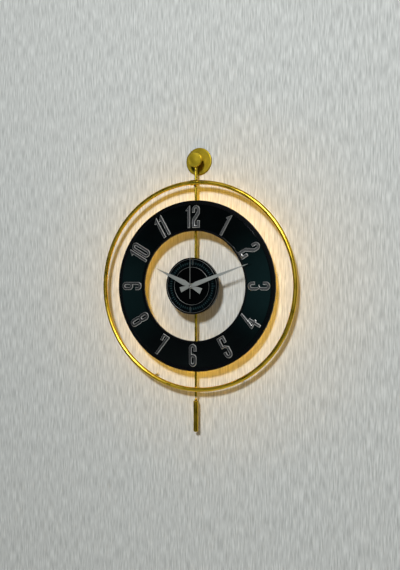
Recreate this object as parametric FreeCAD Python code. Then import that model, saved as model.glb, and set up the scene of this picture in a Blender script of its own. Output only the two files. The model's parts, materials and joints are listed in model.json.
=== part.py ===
import FreeCAD, Part
import math
import os

# Pendulum wall clock, millimetres. The wall is the plane y = 0 and the front faces -Y, +Z is up.
# The origin is the mouth of the threaded hole in the wall peg, on the wall plane.

os.makedirs("parts", exist_ok=True)
V = FreeCAD.Vector

# ---- fits ----
RUN = 0.07            # radial clearance of a turning fit
SLIP = 0.25           # clearance round a loose piece
END_PLAY = 0.2        # axial clearance of a turning piece

# ---- wall peg, on which the clock hangs ----
FLANGE_R = 33.0
FLANGE_T = 4.0
FLANGE_EDGE = 1.8     # rounding of the front edge
PEG_R = 7.0
PEG_SHOULDER_R = 10.0
STUD_HOLE_R = 2.5     # M6 tapping size
STUD_HOLE_DEPTH = 11.0
CAP_R = 17.5
CAP_T = 5.0
CAP_EDGE = 1.1
CAP_STUD_R = 3.0
CAP_STUD_L = 8.0

# ---- frame ----
HOOP_DROP = 54.5      # from the peg down to the top of the hoop
SPINE_R = 3.5
SPINE_Y = -20.0       # both rods hang in this plane
EYE_R = 14.0
EYE_MARGIN = 0.2      # of the eye, in front of and behind the rod
EYE_SOCKET = 4.0
HOOP_R = 245.5        # centre line of the bent tube
HOOP_TUBE_R = 5.3
HOOP_WALL = 1.0
HOOP_GAP = 1.2        # between the tube's two ends, inside the sleeve
SLEEVE_WALL = 1.3
SLEEVE_L = 20.0
SLEEVE_SCREW_R = 1.0
SLEEVE_HEAD_R = 1.7
SLEEVE_HEAD_L = 2.6
FOOT_ANGLE = 27.0     # either side of straight down
FOOT_PIN_R = 2.0
FOOT_PAD_R = 4.0
FOOT_PAD_T = 5.0
FOOT_SOCKET = 3.0

# ---- dial ring ----
RING_R = 202.2
RING_BORE_R = 130.0
RING_T = 5.0
RING_REAR_Y = -32.0
BORDER_OUT = 10.5     # matt border outside the gloss face
BORDER_IN = 5.5
FACE_T = 1.2
NUMERAL_H = 53.0
NUMERAL_W = 19.4
NUMERAL_STROKE = 7.0
NUMERAL_T = 2.0
NUMERAL_HOOK = 17.0   # length of a digit's hooked end
NUMERAL_BAR = 5.0     # thickness of a digit's flat bars
ONE_STEM = 6.8
ONE_FLAG = 4.6

# ---- light behind the dial ring ----
CHANNEL_INSET = 17.0  # from the dial ring's outer edge
CHANNEL_W = 18.0
CHANNEL_WALL = 1.2
CHANNEL_DEPTH = 8.0
STRIP_W = 10.0
STRIP_T = 0.4
CHIP_COUNT = 60
CHIP_W = 3.5
CHIP_T = 0.9
DIFFUSER_T = 1.5
INLET_X = 42.0
INLET_W = 12.0
INLET_H = 12.0
INLET_DEPTH = 9.0
INLET_HOLE_R = 2.9
INLET_PIN_R = 1.0
INLET_HOLE_L = 8.0
INLET_EDGE = 1.0      # left between the inlet and the dial ring's edge

# ---- clamps between the rod and the dial ring ----
CLAMP_W = 26.0
CLAMP_H = 11.0
CLAMP_WEB = 2.5       # behind the rod
CLAMP_MARGIN = 1.5    # from the light channel and from the ring's bore
CLAMP_SCREW_X = 8.5
SCREW_R = 1.5
SCREW_HEAD_R = 2.8
SCREW_HEAD_T = 1.6
SCREW_SLOT_W = 0.8
SCREW_BITE = 3.5

# ---- centre dial ----
DISC_R = 66.8
DISC_T = 2.0
DISC_RIM_T = 1.5
DISC_RIM_DEPTH = 9.0
DISC_REAR_Y = -43.5   # rear of the dial plate, on the bracket
TRIM_T = 0.5
BEZEL_INSET = 3.4     # from the dial's edge
BEZEL_W = 1.0
TRACK_R = 44.8
TRACK_W = 1.0
MARKER_W = 2.6
MARKER_IN_R = 49.0
MARKER_GAP = 0.8      # from the bezel
MARKER_TURN = 3.4     # the dial stands a little turned, clockwise

# ---- bracket ----
PLATE_T = 1.5
PLATE_W = 40.0
SHELF_Z = 31.5        # above the hands' axis
SHELF_REAR_Y = -14.0
SOCKET_W = 12.0
SOCKET_H = 12.0

# ---- clock movement ----
CASE_W = 56.0
CASE_TOP = 28.0       # above the hands' axis
TRAIN_LOW = 12.6      # floor of the gear chamber below the hands' axis
CASE_WALL = 1.5
COVER_T = 1.5
COVER_LIP = 1.0
COVER_LIP_T = 0.8
DIVIDER_T = 1.2
BUSH_R = 4.0
BUSH_L = 7.5
NUT_FLATS = 12.0
NUT_T = 2.4
CELL_R = 7.1
CELL_GAP = 0.1        # in front of the cell
CELL_SUNK = 0.2       # the cell below the case's rear edge
CELL_L = 49.5
CELL_NUB_R = 2.7
CELL_NUB_L = 1.0
CONTACT_T = 0.6
CONTACT_H = 9.0
SPRING_R = (3.6, 2.2)  # at the plate and at the cell

# ---- gear train: distances s are measured back from the case's front inner face ----
ARBOR_R = 0.78
PIPE_WALL = 1.0
HOUR_PIPE_WALL = 0.68
PIVOT_R = 0.4
PIVOT_L = 0.8
SHAFT_R = 0.7
MOTION_M = 0.5
HOUR_M = 0.48
CENTRE_M = 0.34
THIRD_M = 0.36
SECOND_M = 0.30
FAST_M = 0.28
THIRD_ANGLE = 20.0    # direction of the third arbor from the hands' axis
ROTOR_ANGLE = 30.0    # direction of the rotor from the intermediate arbor
S_HOUR = (0.6, 1.8)
S_MINUTE = (2.2, 3.2)
S_CENTRE = (3.8, 4.8)
S_BRIDGE = (5.0, 5.45)
S_THIRD = (5.65, 6.65)
S_SECOND = (7.2, 8.2)
S_FAST = (9.0, 10.0)
S_MAGNET = (10.5, 12.0)
S_STATOR = (10.8, 11.5)
MAGNET_R = 3.0
PILLAR_R = 1.5
BOARD_T = 0.8
SET_KNOB_R = 5.0
SET_KNOB_L = 5.0
SET_SHAFT_R = 1.2
SET_KNOB_RIBS = 24
CENTRE_TEETH = 64
THIRD_TEETH = 60
SECOND_TEETH = 60
FAST_TEETH = 60
LOW_PINION = 8
FAST_PINION = 12
ROTOR_PINION = 10
CANNON_TEETH = 12
MINUTE_TEETH = 36
MINUTE_PINION = 10
HOUR_TEETH = 40
SET_TEETH = 12

# ---- movement's fixed pieces: places are measured from the hands' axis ----
PILLARS = [(-4.5, 21.0), (20.5, 21.0), (20.5, -9.0)]
BRIDGE_EDGE = 2.5     # of the bridge beyond its pillars
STATOR_R = 5.4
STATOR_GAP = 0.6
CORE_X = (-12.0, 12.0)
CORE_Z = (20.2, 24.4)
COIL_X = (-10.0, 3.0)
COIL_MARGIN = 1.0
COIL_S = 10.2
BOARD_X = (-25.4, -15.0)
BOARD_Z = (-8.0, 18.0)
DRIVER_X = (-22.5, -18.0)
DRIVER_Z = (2.0, 7.0)
DRIVER_T = 1.0
CRYSTAL_X = (-24.0, -16.5)
CRYSTAL_Z = (-5.0, -2.5)
CRYSTAL_T = 1.6

# ---- hands ----
HAND_T = 0.8
HOUR_Y = -50.8        # front face of the hour hand
MINUTE_Y = -53.0
SECOND_Y = -54.9
HOUR_BLADE = [(0.0, 6.0), (19.0, 13.0), (99.0, 0.8)]      # distance from the hub, width there
MINUTE_BLADE = [(0.0, 6.0), (17.0, 10.4), (65.0, 7.8), (150.0, 0.8)]
HOUR_TAIL = (29.0, 15.0)
MINUTE_TAIL = (27.0, 13.0)
HAND_WAIST_W = 5.0
HUB_R = 5.2
COLLET_WALL = 1.2
COLLET_L = 0.5
HOUR_PIPE_PROUD = 0.4   # of the pipe in front of its hand
MINUTE_PIPE_PROUD = 0.6
SECOND_L = 111.0
SECOND_TAIL = 30.0
SECOND_W = 1.3
SECOND_TIP_W = 1.0
SECOND_T = 0.5
DOME_R = 3.2
DOME_H = 1.6
HOUR_ANGLE = 295.0    # clockwise from twelve
MINUTE_ANGLE = 70.5
SECOND_ANGLE = 0.0

# ---- pendulum ----
PIVOT_BELOW_CASE = 10.0
PIVOT_FOOT = 8.0      # half the width of the bracket's foot
PIVOT_PIN_R = 1.5
PIVOT_POST_R = 3.0
PIVOT_HEAD_R = 2.7
PIVOT_HEAD_T = 1.5
PIVOT_EYE_R = 4.5
PIVOT_EYE_T = 3.2
PENDULUM_R = 3.1
NECK_L = 10.5         # between the rod and the bob
NECK_R = 1.7
BOB_BELOW_HOOP = 28.0 # top of the bob below the lowest centre of the hoop's tube
BOB_L = 73.5
BOB_R = 5.9
BOB_CHAMFER = 1.3
BOB_SOCKET = 12.0
RATING_NUT_R = 3.4
RATING_NUT_H = 4.6

# ---- values that follow ----
HUB_Z = -HOOP_DROP - HOOP_R
EYE_T = 2 * (SPINE_R + EYE_MARGIN)
EYE_FRONT_Y = SPINE_Y - EYE_T / 2
EYE_REAR_Y = SPINE_Y + EYE_T / 2
PEG_SHOULDER_Y = EYE_REAR_Y + END_PLAY
CAP_REAR_Y = EYE_FRONT_Y - END_PLAY
HOOP_Y = SPINE_Y - SPINE_R - HOOP_TUBE_R
RING_FRONT_Y = RING_REAR_Y - RING_T
FACE_R = RING_R - BORDER_OUT
FACE_BORE_R = RING_BORE_R + BORDER_IN
FACE_FRONT_Y = RING_FRONT_Y - FACE_T
CHANNEL_R = RING_R - CHANNEL_INSET
CHANNEL_BORE_R = CHANNEL_R - CHANNEL_W
CHANNEL_REAR_Y = RING_REAR_Y + CHANNEL_DEPTH
CLAMP_REAR_Y = SPINE_Y + SPINE_R + CLAMP_WEB
DISC_FRONT_Y = DISC_REAR_Y - DISC_T
BEZEL_R = DISC_R - BEZEL_INSET
MARKER_OUT_R = BEZEL_R - BEZEL_W - MARKER_GAP
PLATE_REAR_Y = DISC_REAR_Y + PLATE_T
CASE_FRONT_Y = PLATE_REAR_Y
INNER_Y = CASE_FRONT_Y + CASE_WALL
CELL_Y = INNER_Y + CELL_GAP + CELL_R
CASE_REAR_Y = CELL_Y + CELL_R + CELL_SUNK
COVER_Y = CASE_REAR_Y - COVER_T
S_COVER = COVER_Y - INNER_Y
PIPE_R = ARBOR_R + RUN + PIPE_WALL
HOUR_BORE_R = PIPE_R + RUN
HOUR_PIPE_R = HOUR_BORE_R + HOUR_PIPE_WALL
BUSH_BORE_R = HOUR_PIPE_R + RUN
BAY_H = 2 * (CELL_R + SLIP)
CHAMBER_LOW_Z = HUB_Z - TRAIN_LOW
BAY_TOP_Z = CHAMBER_LOW_Z - DIVIDER_T
BAY_LOW_Z = BAY_TOP_Z - BAY_H
CASE_LOW_Z = BAY_LOW_Z - CASE_WALL
CELL_Z = BAY_LOW_Z + BAY_H / 2
SOCKET_LOW_Z = HUB_Z + SHELF_Z + PLATE_T
PIVOT_Z = CASE_LOW_Z - PIVOT_BELOW_CASE
PLATE_LOW_Z = PIVOT_Z - PIVOT_FOOT - 2.0
BOB_TOP_Z = HUB_Z - HOOP_R - BOB_BELOW_HOOP


# ---- shapes ----
def box(x0, x1, y0, y1, z0, z1):
    """A block between two corners."""
    return Part.makeBox(x1 - x0, y1 - y0, z1 - z0, V(x0, y0, z0))


def disc(radius, y0, y1, x=0.0, z=HUB_Z):
    """A cylinder along Y from y0 back to y1."""
    return Part.makeCylinder(radius, y1 - y0, V(x, y0, z), V(0, 1, 0))


def ring(outer, inner, y0, y1, x=0.0, z=HUB_Z):
    """A flat ring round a Y axis."""
    return disc(outer, y0, y1, x, z).cut(disc(inner, y0, y1, x, z))


def upright(radius, z0, z1, x=0.0, y=SPINE_Y):
    """A cylinder along Z from z0 up to z1."""
    return Part.makeCylinder(radius, z1 - z0, V(x, y, z0), V(0, 0, 1))


def plate(points, y0, y1):
    """An outline in the XZ plane, made solid from y0 back to y1."""
    corners = [V(x, y0, z) for x, z in points]
    outline = Part.makePolygon(corners + corners[:1])
    return Part.Face(outline).extrude(V(0, y1 - y0, 0))


def joined(shapes):
    """One solid from pieces that overlap or share faces."""
    return shapes[0].multiFuse(shapes[1:]).removeSplitter()


def polar(radius, angle):
    """A point on a circle, with the angle clockwise from straight up."""
    turn = math.radians(angle)
    return radius * math.sin(turn), radius * math.cos(turn)


def bent_tube(outer, inner, start, end):
    """A tube bent round the hands' axis between two angles, clockwise from straight up."""
    x, z = polar(HOOP_R, start)
    centre = V(x, HOOP_Y, HUB_Z + z)
    turn = math.radians(start)
    tangent = V(math.cos(turn), 0, -math.sin(turn))
    section = Part.Face(Part.Wire(Part.makeCircle(outer, centre, tangent)))
    if inner > 0:
        section = section.cut(Part.Face(Part.Wire(Part.makeCircle(inner, centre, tangent))))
    return section.revolve(V(0, 0, HUB_Z), V(0, 1, 0), end - start)


def save(name, shape):
    """One sub-part to its own file."""
    shape.exportStep("parts/%s.step" % name)


# ---- wall peg ----
def wall_flange():
    body = disc(FLANGE_R, -FLANGE_T, 0, 0, 0)
    front_edge = [e for e in body.Edges if abs(e.BoundBox.YMax + FLANGE_T) < 1e-6]
    return body.makeFillet(FLANGE_EDGE, front_edge[:1]).cut(disc(PEG_R, -FLANGE_T, 0, 0, 0))


def wall_peg():
    tenon = disc(PEG_R, -FLANGE_T, 0, 0, 0)
    shoulder = disc(PEG_SHOULDER_R, PEG_SHOULDER_Y, -FLANGE_T, 0, 0)
    journal = disc(PEG_R, CAP_REAR_Y, PEG_SHOULDER_Y, 0, 0)
    stud_hole = disc(STUD_HOLE_R, -STUD_HOLE_DEPTH, 0, 0, 0)
    cap_hole = disc(CAP_STUD_R, CAP_REAR_Y, CAP_REAR_Y + CAP_STUD_L, 0, 0)
    return joined([tenon, shoulder, journal]).cut(stud_hole).cut(cap_hole)


def peg_cap():
    face = disc(CAP_R, CAP_REAR_Y - CAP_T, CAP_REAR_Y, 0, 0)
    rims = [e for e in face.Edges if e.BoundBox.YLength < 1e-6]
    face = face.makeChamfer(CAP_EDGE, rims)
    return joined([face, disc(CAP_STUD_R, CAP_REAR_Y, CAP_REAR_Y + CAP_STUD_L, 0, 0)])


# ---- frame ----
def hanger_eye():
    body = ring(EYE_R, PEG_R + RUN, EYE_FRONT_Y, EYE_REAR_Y, 0, 0)
    return body.cut(upright(SPINE_R, -EYE_R, -EYE_R + EYE_SOCKET))


def spine_rod():
    return upright(SPINE_R, SOCKET_LOW_Z + 1.0, -EYE_R + EYE_SOCKET)


def hoop():
    half_gap = math.degrees(HOOP_GAP / 2 / HOOP_R)
    return bent_tube(HOOP_TUBE_R, HOOP_TUBE_R - HOOP_WALL, half_gap, 360 - half_gap)


def sleeve_screw():
    head_top = HUB_Z + HOOP_R - HOOP_TUBE_R - SLEEVE_WALL
    shank = upright(SLEEVE_SCREW_R, head_top, head_top + SLEEVE_WALL, 0, HOOP_Y)
    head = upright(SLEEVE_HEAD_R, head_top - SLEEVE_HEAD_L, head_top, 0, HOOP_Y)
    return joined([shank, head])


def hoop_sleeve():
    half = math.degrees(SLEEVE_L / 2 / HOOP_R)
    tube = bent_tube(HOOP_TUBE_R + SLEEVE_WALL, HOOP_TUBE_R, -half, half)
    reach = HUB_Z + HOOP_R
    tube = tube.cut(upright(SPINE_R, reach - 2 * EYE_R, reach + 2 * EYE_R))
    return tube.cut(sleeve_screw())


def foot_pins():
    pins = []
    for side in (-1, 1):
        x, z = polar(HOOP_R, 180 + side * FOOT_ANGLE)
        pin = disc(FOOT_PIN_R, HOOP_Y, -FOOT_PAD_T + FOOT_SOCKET, x, HUB_Z + z)
        near = 180 + side * FOOT_ANGLE
        pins.append(pin.cut(bent_tube(HOOP_TUBE_R, 0, near - 3, near + 3)))
    return Part.makeCompound(pins)


def foot_pads():
    pads = []
    for side in (-1, 1):
        x, z = polar(HOOP_R, 180 + side * FOOT_ANGLE)
        pad = disc(FOOT_PAD_R, -FOOT_PAD_T, 0, x, HUB_Z + z)
        socket = disc(FOOT_PIN_R, -FOOT_PAD_T, -FOOT_PAD_T + FOOT_SOCKET, x, HUB_Z + z)
        pads.append(pad.cut(socket))
    return Part.makeCompound(pads)


# ---- dial ring ----
def clamp_places():
    """Heights of the two clamps above the hands' axis: outside and inside the light channel."""
    outer = CHANNEL_R + CLAMP_MARGIN + CLAMP_H / 2
    inner = RING_BORE_R + CLAMP_MARGIN + CLAMP_H / 2
    return [outer, inner]


def clamp_screws():
    screws = []
    for rise in clamp_places():
        for x in (-CLAMP_SCREW_X, CLAMP_SCREW_X):
            z = HUB_Z + rise
            shank = disc(SCREW_R, RING_REAR_Y - SCREW_BITE, CLAMP_REAR_Y, x, z)
            head = disc(SCREW_HEAD_R, CLAMP_REAR_Y, CLAMP_REAR_Y + SCREW_HEAD_T, x, z)
            slot_y = CLAMP_REAR_Y + SCREW_HEAD_T / 2
            slot = box(x - SCREW_HEAD_R, x + SCREW_HEAD_R, slot_y, slot_y + SCREW_HEAD_T,
                       z - SCREW_SLOT_W / 2, z + SCREW_SLOT_W / 2)
            screws.append(joined([shank, head]).cut(slot))
    return Part.makeCompound(screws)


def ring_clamps():
    clamps = []
    for rise in clamp_places():
        z = HUB_Z + rise
        block = box(-CLAMP_W / 2, CLAMP_W / 2, RING_REAR_Y, CLAMP_REAR_Y,
                    z - CLAMP_H / 2, z + CLAMP_H / 2)
        block = block.cut(upright(SPINE_R, z - CLAMP_H, z + CLAMP_H))
        clamps.append(block.cut(clamp_screws()))
    return Part.makeCompound(clamps)


def dial_base_ring():
    body = ring(RING_R, RING_BORE_R, RING_FRONT_Y, RING_REAR_Y)
    return body.cut(clamp_screws())


def dial_face_ring():
    return ring(FACE_R, FACE_BORE_R, FACE_FRONT_Y, RING_FRONT_Y)


# ---- numerals: drawn about u = 0 from v = 0 up, then carried to their place ----
def stroke(points):
    return plate(points, 0, NUMERAL_T)


def bar(u0, u1, v0, v1):
    return stroke([(u0, v0), (u1, v0), (u1, v1), (u0, v1)])


def stadium(u, v0, v1, width):
    """An upright bar with round ends."""
    r = width / 2
    low = disc(r, 0, NUMERAL_T, u, v0 + r)
    high = disc(r, 0, NUMERAL_T, u, v1 - r)
    return joined([low, high, bar(u - r, u + r, v0 + r, v1 - r)])


def loop(u, v0, v1):
    """A closed loop of the numerals' stroke."""
    outer = stadium(u, v0, v1, NUMERAL_W)
    slot = stadium(u, v0 + NUMERAL_STROKE, v1 - NUMERAL_STROKE, NUMERAL_W - 2 * NUMERAL_STROKE)
    return outer.cut(slot)


def arch(u):
    """The round head of a digit, with a hook down its left side."""
    half = NUMERAL_W / 2
    spring = NUMERAL_H - half
    head = loop(u, 0, NUMERAL_H).common(bar(u - half, u + half, spring, NUMERAL_H))
    hook = bar(u - half, u - half + NUMERAL_STROKE, NUMERAL_H - NUMERAL_HOOK, spring)
    return [head, hook]


def turned(shape, u=0.0):
    """A digit turned half a turn about its own middle."""
    copy = shape.copy()
    copy.rotate(V(u, 0, NUMERAL_H / 2), V(0, 1, 0), 180)
    return copy


def flipped(shape, u=0.0):
    """A stroke mirrored top to bottom."""
    return shape.mirror(V(u, 0, NUMERAL_H / 2), V(0, 0, 1))


def digit_one(u):
    top = NUMERAL_H
    return stroke([(u, 0), (u + ONE_STEM, 0), (u + ONE_STEM, top), (u + 0.75 * ONE_STEM, top),
                   (u - ONE_FLAG, top - 10.5), (u - ONE_FLAG, top - 12.5), (u, top - 12.5)])


def digit_two(u):
    w = NUMERAL_W / 2
    i = w - NUMERAL_STROKE
    spring = NUMERAL_H - w
    diagonal = stroke([(u + w, 33.5), (u - i, 15.5), (u - w, 15.5), (u - w, 20.0),
                       (u + i, 37.5), (u + w, 37.5)])
    side = bar(u + i, u + w, 35, spring)
    leg = bar(u - w, u - i, 0, 17)
    foot = bar(u - w, u + w, 0, NUMERAL_BAR + 0.6)
    stub = bar(u + i, u + w, 0, NUMERAL_HOOK)
    return joined(arch(u) + [side, diagonal, leg, foot, stub])


def digit_three():
    w = NUMERAL_W / 2
    i = w - NUMERAL_STROKE
    mid = NUMERAL_H / 2
    half = arch(0) + [bar(i, w, mid + 5.5, NUMERAL_H - w)]
    waist = stroke([(w, mid + 6), (w - 3.6, mid), (w, mid - 6), (i, mid - 6), (i, mid - 2.2),
                    (-3.4, mid - 0.6), (-3.4, mid + 0.6), (i, mid + 2.2), (i, mid + 6)])
    return joined(half + [flipped(piece) for piece in half] + [waist])


def digit_four():
    rise = stroke([(-11.4, 14.0), (-5.0, 14.0), (8.0, NUMERAL_H), (2.0, NUMERAL_H), (-11.4, 18.5)])
    cross = bar(-11.4, 11.4, 14.0, 14.0 + NUMERAL_BAR)
    stem = bar(0.9, 0.9 + 6.6, 0, 31.5)
    return joined([rise, cross, stem])


def digit_five():
    w = NUMERAL_W / 2
    i = w - NUMERAL_STROKE
    head = bar(-w, w, NUMERAL_H - NUMERAL_BAR, NUMERAL_H)
    spine = bar(-w, -i, 27, NUMERAL_H)
    stub = bar(i + 0.4, w, NUMERAL_H - NUMERAL_HOOK, NUMERAL_H)
    shoulder = stroke([(-w, 26.5), (-w, 31.0), (0.5, 31.0), (w, 25.0), (w, 19.5), (i, 19.5),
                       (i, 23.0), (-2.0, 26.5)])
    side = bar(i, w, w, 21)
    bowl = [flipped(piece) for piece in arch(0)]
    return joined([head, spine, stub, shoulder, side] + bowl)


def digit_six():
    w = NUMERAL_W / 2
    left = bar(-w, -w + NUMERAL_STROKE, w, NUMERAL_H - w)
    hook = [piece.mirror(V(0, 0, 0), V(1, 0, 0)) for piece in arch(0)]
    return joined([loop(0, 0, 29.5), left] + hook)


def digit_seven():
    w = NUMERAL_W / 2
    head = bar(-w, w, NUMERAL_H - NUMERAL_BAR, NUMERAL_H)
    stub = bar(-w, -w + 6.6, NUMERAL_H - NUMERAL_HOOK, NUMERAL_H)
    stem = stroke([(2.6, NUMERAL_H), (w, NUMERAL_H), (1.4, 0), (-5.5, 0)])
    return joined([head, stub, stem])


def digit_eight():
    return joined([loop(0, 0, 32.5), loop(0, 32.5 - NUMERAL_STROKE, NUMERAL_H)])


def numeral(hour):
    """The hour's digits; 4 to 8 stand with their tops toward the hub."""
    shapes = {
        1: [digit_one(-1.2)],
        2: [digit_two(0)],
        3: [digit_three()],
        4: [digit_four()],
        5: [digit_five()],
        6: [digit_six()],
        7: [digit_seven()],
        8: [digit_eight()],
        9: [turned(digit_six())],
        10: [digit_one(-12.6), loop(7.1, 0, NUMERAL_H)],
        11: [digit_one(-8.2), digit_one(5.9)],
        12: [digit_one(-13.6), digit_two(8.4)],
    }
    digits = Part.makeCompound(shapes[hour])
    middle = (FACE_R + FACE_BORE_R) / 2
    digits.translate(V(0, FACE_FRONT_Y - NUMERAL_T, -NUMERAL_H / 2))
    inward = 4 <= hour <= 8
    digits.rotate(V(0, 0, 0), V(0, 1, 0), 30 * hour + (180 if inward else 0))
    x, z = polar(middle, 30 * hour)
    digits.translate(V(x, 0, HUB_Z + z))
    return digits


# ---- light ----
def led_channel():
    front = RING_REAR_Y
    floor = ring(CHANNEL_R, CHANNEL_BORE_R, front, front + CHANNEL_WALL)
    outer = ring(CHANNEL_R, CHANNEL_R - CHANNEL_WALL, front, CHANNEL_REAR_Y)
    inner = ring(CHANNEL_BORE_R + CHANNEL_WALL, CHANNEL_BORE_R, front, CHANNEL_REAR_Y)
    return joined([floor, outer, inner])


def led_strip():
    middle = (CHANNEL_R + CHANNEL_BORE_R) / 2
    front = RING_REAR_Y + CHANNEL_WALL
    tape = ring(middle + STRIP_W / 2, middle - STRIP_W / 2, front, front + STRIP_T)
    chips = [tape]
    for index in range(CHIP_COUNT):
        chip = box(-CHIP_W / 2, CHIP_W / 2, front, front + STRIP_T + CHIP_T,
                   middle - CHIP_W / 2, middle + CHIP_W / 2)
        chip.rotate(V(0, 0, 0), V(0, 1, 0), index * 360 / CHIP_COUNT)
        chip.translate(V(0, 0, HUB_Z))
        chips.append(chip)
    return joined(chips)


def led_diffuser():
    return ring(CHANNEL_R - CHANNEL_WALL, CHANNEL_BORE_R + CHANNEL_WALL,
                CHANNEL_REAR_Y - DIFFUSER_T, CHANNEL_REAR_Y)


def dc_inlet():
    """A barrel socket behind the ring's lower edge, its mouth facing down."""
    low = HUB_Z - math.sqrt((RING_R - INLET_EDGE) ** 2 - (INLET_X + INLET_W / 2) ** 2)
    body = box(INLET_X - INLET_W / 2, INLET_X + INLET_W / 2, RING_REAR_Y,
               RING_REAR_Y + INLET_DEPTH, low, low + INLET_H)
    y = RING_REAR_Y + INLET_DEPTH / 2
    body = body.cut(upright(INLET_HOLE_R, low, low + INLET_HOLE_L, INLET_X, y))
    return joined([body, upright(INLET_PIN_R, low + 0.5, low + INLET_HOLE_L, INLET_X, y)])


# ---- centre dial ----
def centre_dial():
    front = disc(DISC_R, DISC_FRONT_Y, DISC_REAR_Y)
    rim = ring(DISC_R, DISC_R - DISC_RIM_T, DISC_FRONT_Y, DISC_FRONT_Y + DISC_RIM_DEPTH)
    return joined([front, rim]).cut(disc(BUSH_R, DISC_FRONT_Y, DISC_REAR_Y))


def centre_bezel():
    return ring(BEZEL_R, BEZEL_R - BEZEL_W, DISC_FRONT_Y - TRIM_T, DISC_FRONT_Y)


def track_ring():
    return ring(TRACK_R, TRACK_R - TRACK_W, DISC_FRONT_Y - TRIM_T, DISC_FRONT_Y)


def centre_markers():
    """Bars at twelve and six."""
    bars = []
    for side in (-1, 1):
        low, high = sorted((side * MARKER_IN_R, side * MARKER_OUT_R))
        bars.append(box(-MARKER_W / 2, MARKER_W / 2, DISC_FRONT_Y - TRIM_T, DISC_FRONT_Y,
                        HUB_Z + low, HUB_Z + high))
    pair = Part.makeCompound(bars)
    pair.rotate(V(0, 0, HUB_Z), V(0, 1, 0), MARKER_TURN)
    return pair


def centre_bracket():
    """Upright plate behind the dial, folded back over the movement to the rod's socket."""
    half = PLATE_W / 2
    shelf_top = SOCKET_LOW_Z
    upright_plate = box(-half, half, DISC_REAR_Y, PLATE_REAR_Y, PLATE_LOW_Z, shelf_top)
    shelf = box(-half, half, DISC_REAR_Y, SHELF_REAR_Y, HUB_Z + SHELF_Z, shelf_top)
    socket = box(-SOCKET_W / 2, SOCKET_W / 2, SPINE_Y - SOCKET_W / 2, SPINE_Y + SOCKET_W / 2,
                 shelf_top, shelf_top + SOCKET_H)
    body = joined([upright_plate, shelf, socket])
    body = body.cut(upright(SPINE_R, shelf_top + 1.0, shelf_top + SOCKET_H))
    return body.cut(disc(BUSH_R, DISC_REAR_Y, PLATE_REAR_Y))


# ---- movement ----
def gear(teeth, module, s, x, z, phase):
    """A spur wheel with straight-sided teeth; one tooth points at the phase angle, in degrees."""
    pitch_r = teeth * module / 2
    root = pitch_r - 1.1 * module
    tip = pitch_r + 0.8 * module
    pitch = 2 * math.pi / teeth
    points = []
    for index in range(teeth):
        middle = math.radians(phase) + index * pitch
        for radius, share in ((root, -0.26), (tip, -0.11), (tip, 0.11), (root, 0.26)):
            angle = middle + share * pitch
            points.append((x + radius * math.cos(angle), HUB_Z + z + radius * math.sin(angle)))
    return plate(points, INNER_Y + s[0], INNER_Y + s[1])


def meshed(phase, teeth, mate_teeth, direction):
    """The phase of a mate that lies in this direction from a wheel of the given phase."""
    lead = phase - direction
    return direction + 180 - lead * teeth / mate_teeth + 180 / mate_teeth


def shaft(radius, s0, s1, x=0.0, z=0.0):
    """A round shaft in the movement."""
    return disc(radius, INNER_Y + s0, INNER_Y + s1, x, HUB_Z + z)


def along(distance, angle, x=0.0, z=0.0):
    """A place at this distance, with the angle counted from +X towards +Z."""
    turn = math.radians(angle)
    return x + distance * math.cos(turn), z + distance * math.sin(turn)


THIRD_AT = along((CENTRE_TEETH + LOW_PINION) * CENTRE_M / 2, THIRD_ANGLE)
FAST_AT = along((SECOND_TEETH + FAST_PINION) * SECOND_M / 2, 90)
ROTOR_AT = along((FAST_TEETH + ROTOR_PINION) * FAST_M / 2, ROTOR_ANGLE, *FAST_AT)
MINUTE_AT = along((CANNON_TEETH + MINUTE_TEETH) * MOTION_M / 2, 180)
SET_AT = along((MINUTE_TEETH + SET_TEETH) * MOTION_M / 2, 90, *MINUTE_AT)


def pivot_hole(at, s0, s1):
    return shaft(PIVOT_R + RUN / 2, s0, s1, *at)


def movement_case():
    """Moulded case: gear chamber above, battery bay open to the rear below."""
    w = CASE_W / 2
    inner = w - CASE_WALL
    top = HUB_Z + CASE_TOP
    body = box(-w, w, CASE_FRONT_Y, CASE_REAR_Y, CASE_LOW_Z, top)
    chamber = box(-inner, inner, INNER_Y, CASE_REAR_Y, CHAMBER_LOW_Z, top - CASE_WALL)
    bay = box(-inner, inner, INNER_Y, CASE_REAR_Y, BAY_LOW_Z, BAY_TOP_Z)
    cover_seat = box(-w, w, COVER_Y, CASE_REAR_Y, BAY_TOP_Z, top)
    body = body.cut(chamber).cut(bay).cut(cover_seat)
    bush = disc(BUSH_R, CASE_FRONT_Y - BUSH_L, CASE_FRONT_Y)
    pillars = [shaft(PILLAR_R, 0, S_BRIDGE[0], *at) for at in PILLARS]
    body = joined([body, bush] + pillars)
    body = body.cut(disc(BUSH_BORE_R, CASE_FRONT_Y - BUSH_L, INNER_Y))
    for at in (THIRD_AT, MINUTE_AT, SET_AT):
        body = body.cut(pivot_hole(at, -PIVOT_L - END_PLAY, 0))
    return body


def rear_cover():
    w = CASE_W / 2
    inner = w - CASE_WALL
    top = HUB_Z + CASE_TOP
    sheet = box(-w, w, COVER_Y, CASE_REAR_Y, BAY_TOP_Z, top)
    lip = box(-inner, inner, COVER_Y - COVER_LIP, COVER_Y, CHAMBER_LOW_Z, top - CASE_WALL)
    t = COVER_LIP_T
    lip = lip.cut(box(-inner + t, inner - t, COVER_Y - COVER_LIP, COVER_Y,
                      CHAMBER_LOW_Z + t, top - CASE_WALL - t))
    body = joined([sheet, lip])
    body = body.cut(shaft(SET_SHAFT_R + RUN, S_COVER, S_COVER + COVER_T, *SET_AT))
    for at in ((0, 0), THIRD_AT, MINUTE_AT, FAST_AT, ROTOR_AT):
        body = body.cut(pivot_hole(at, S_COVER, S_COVER + PIVOT_L + END_PLAY))
    return body


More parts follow.
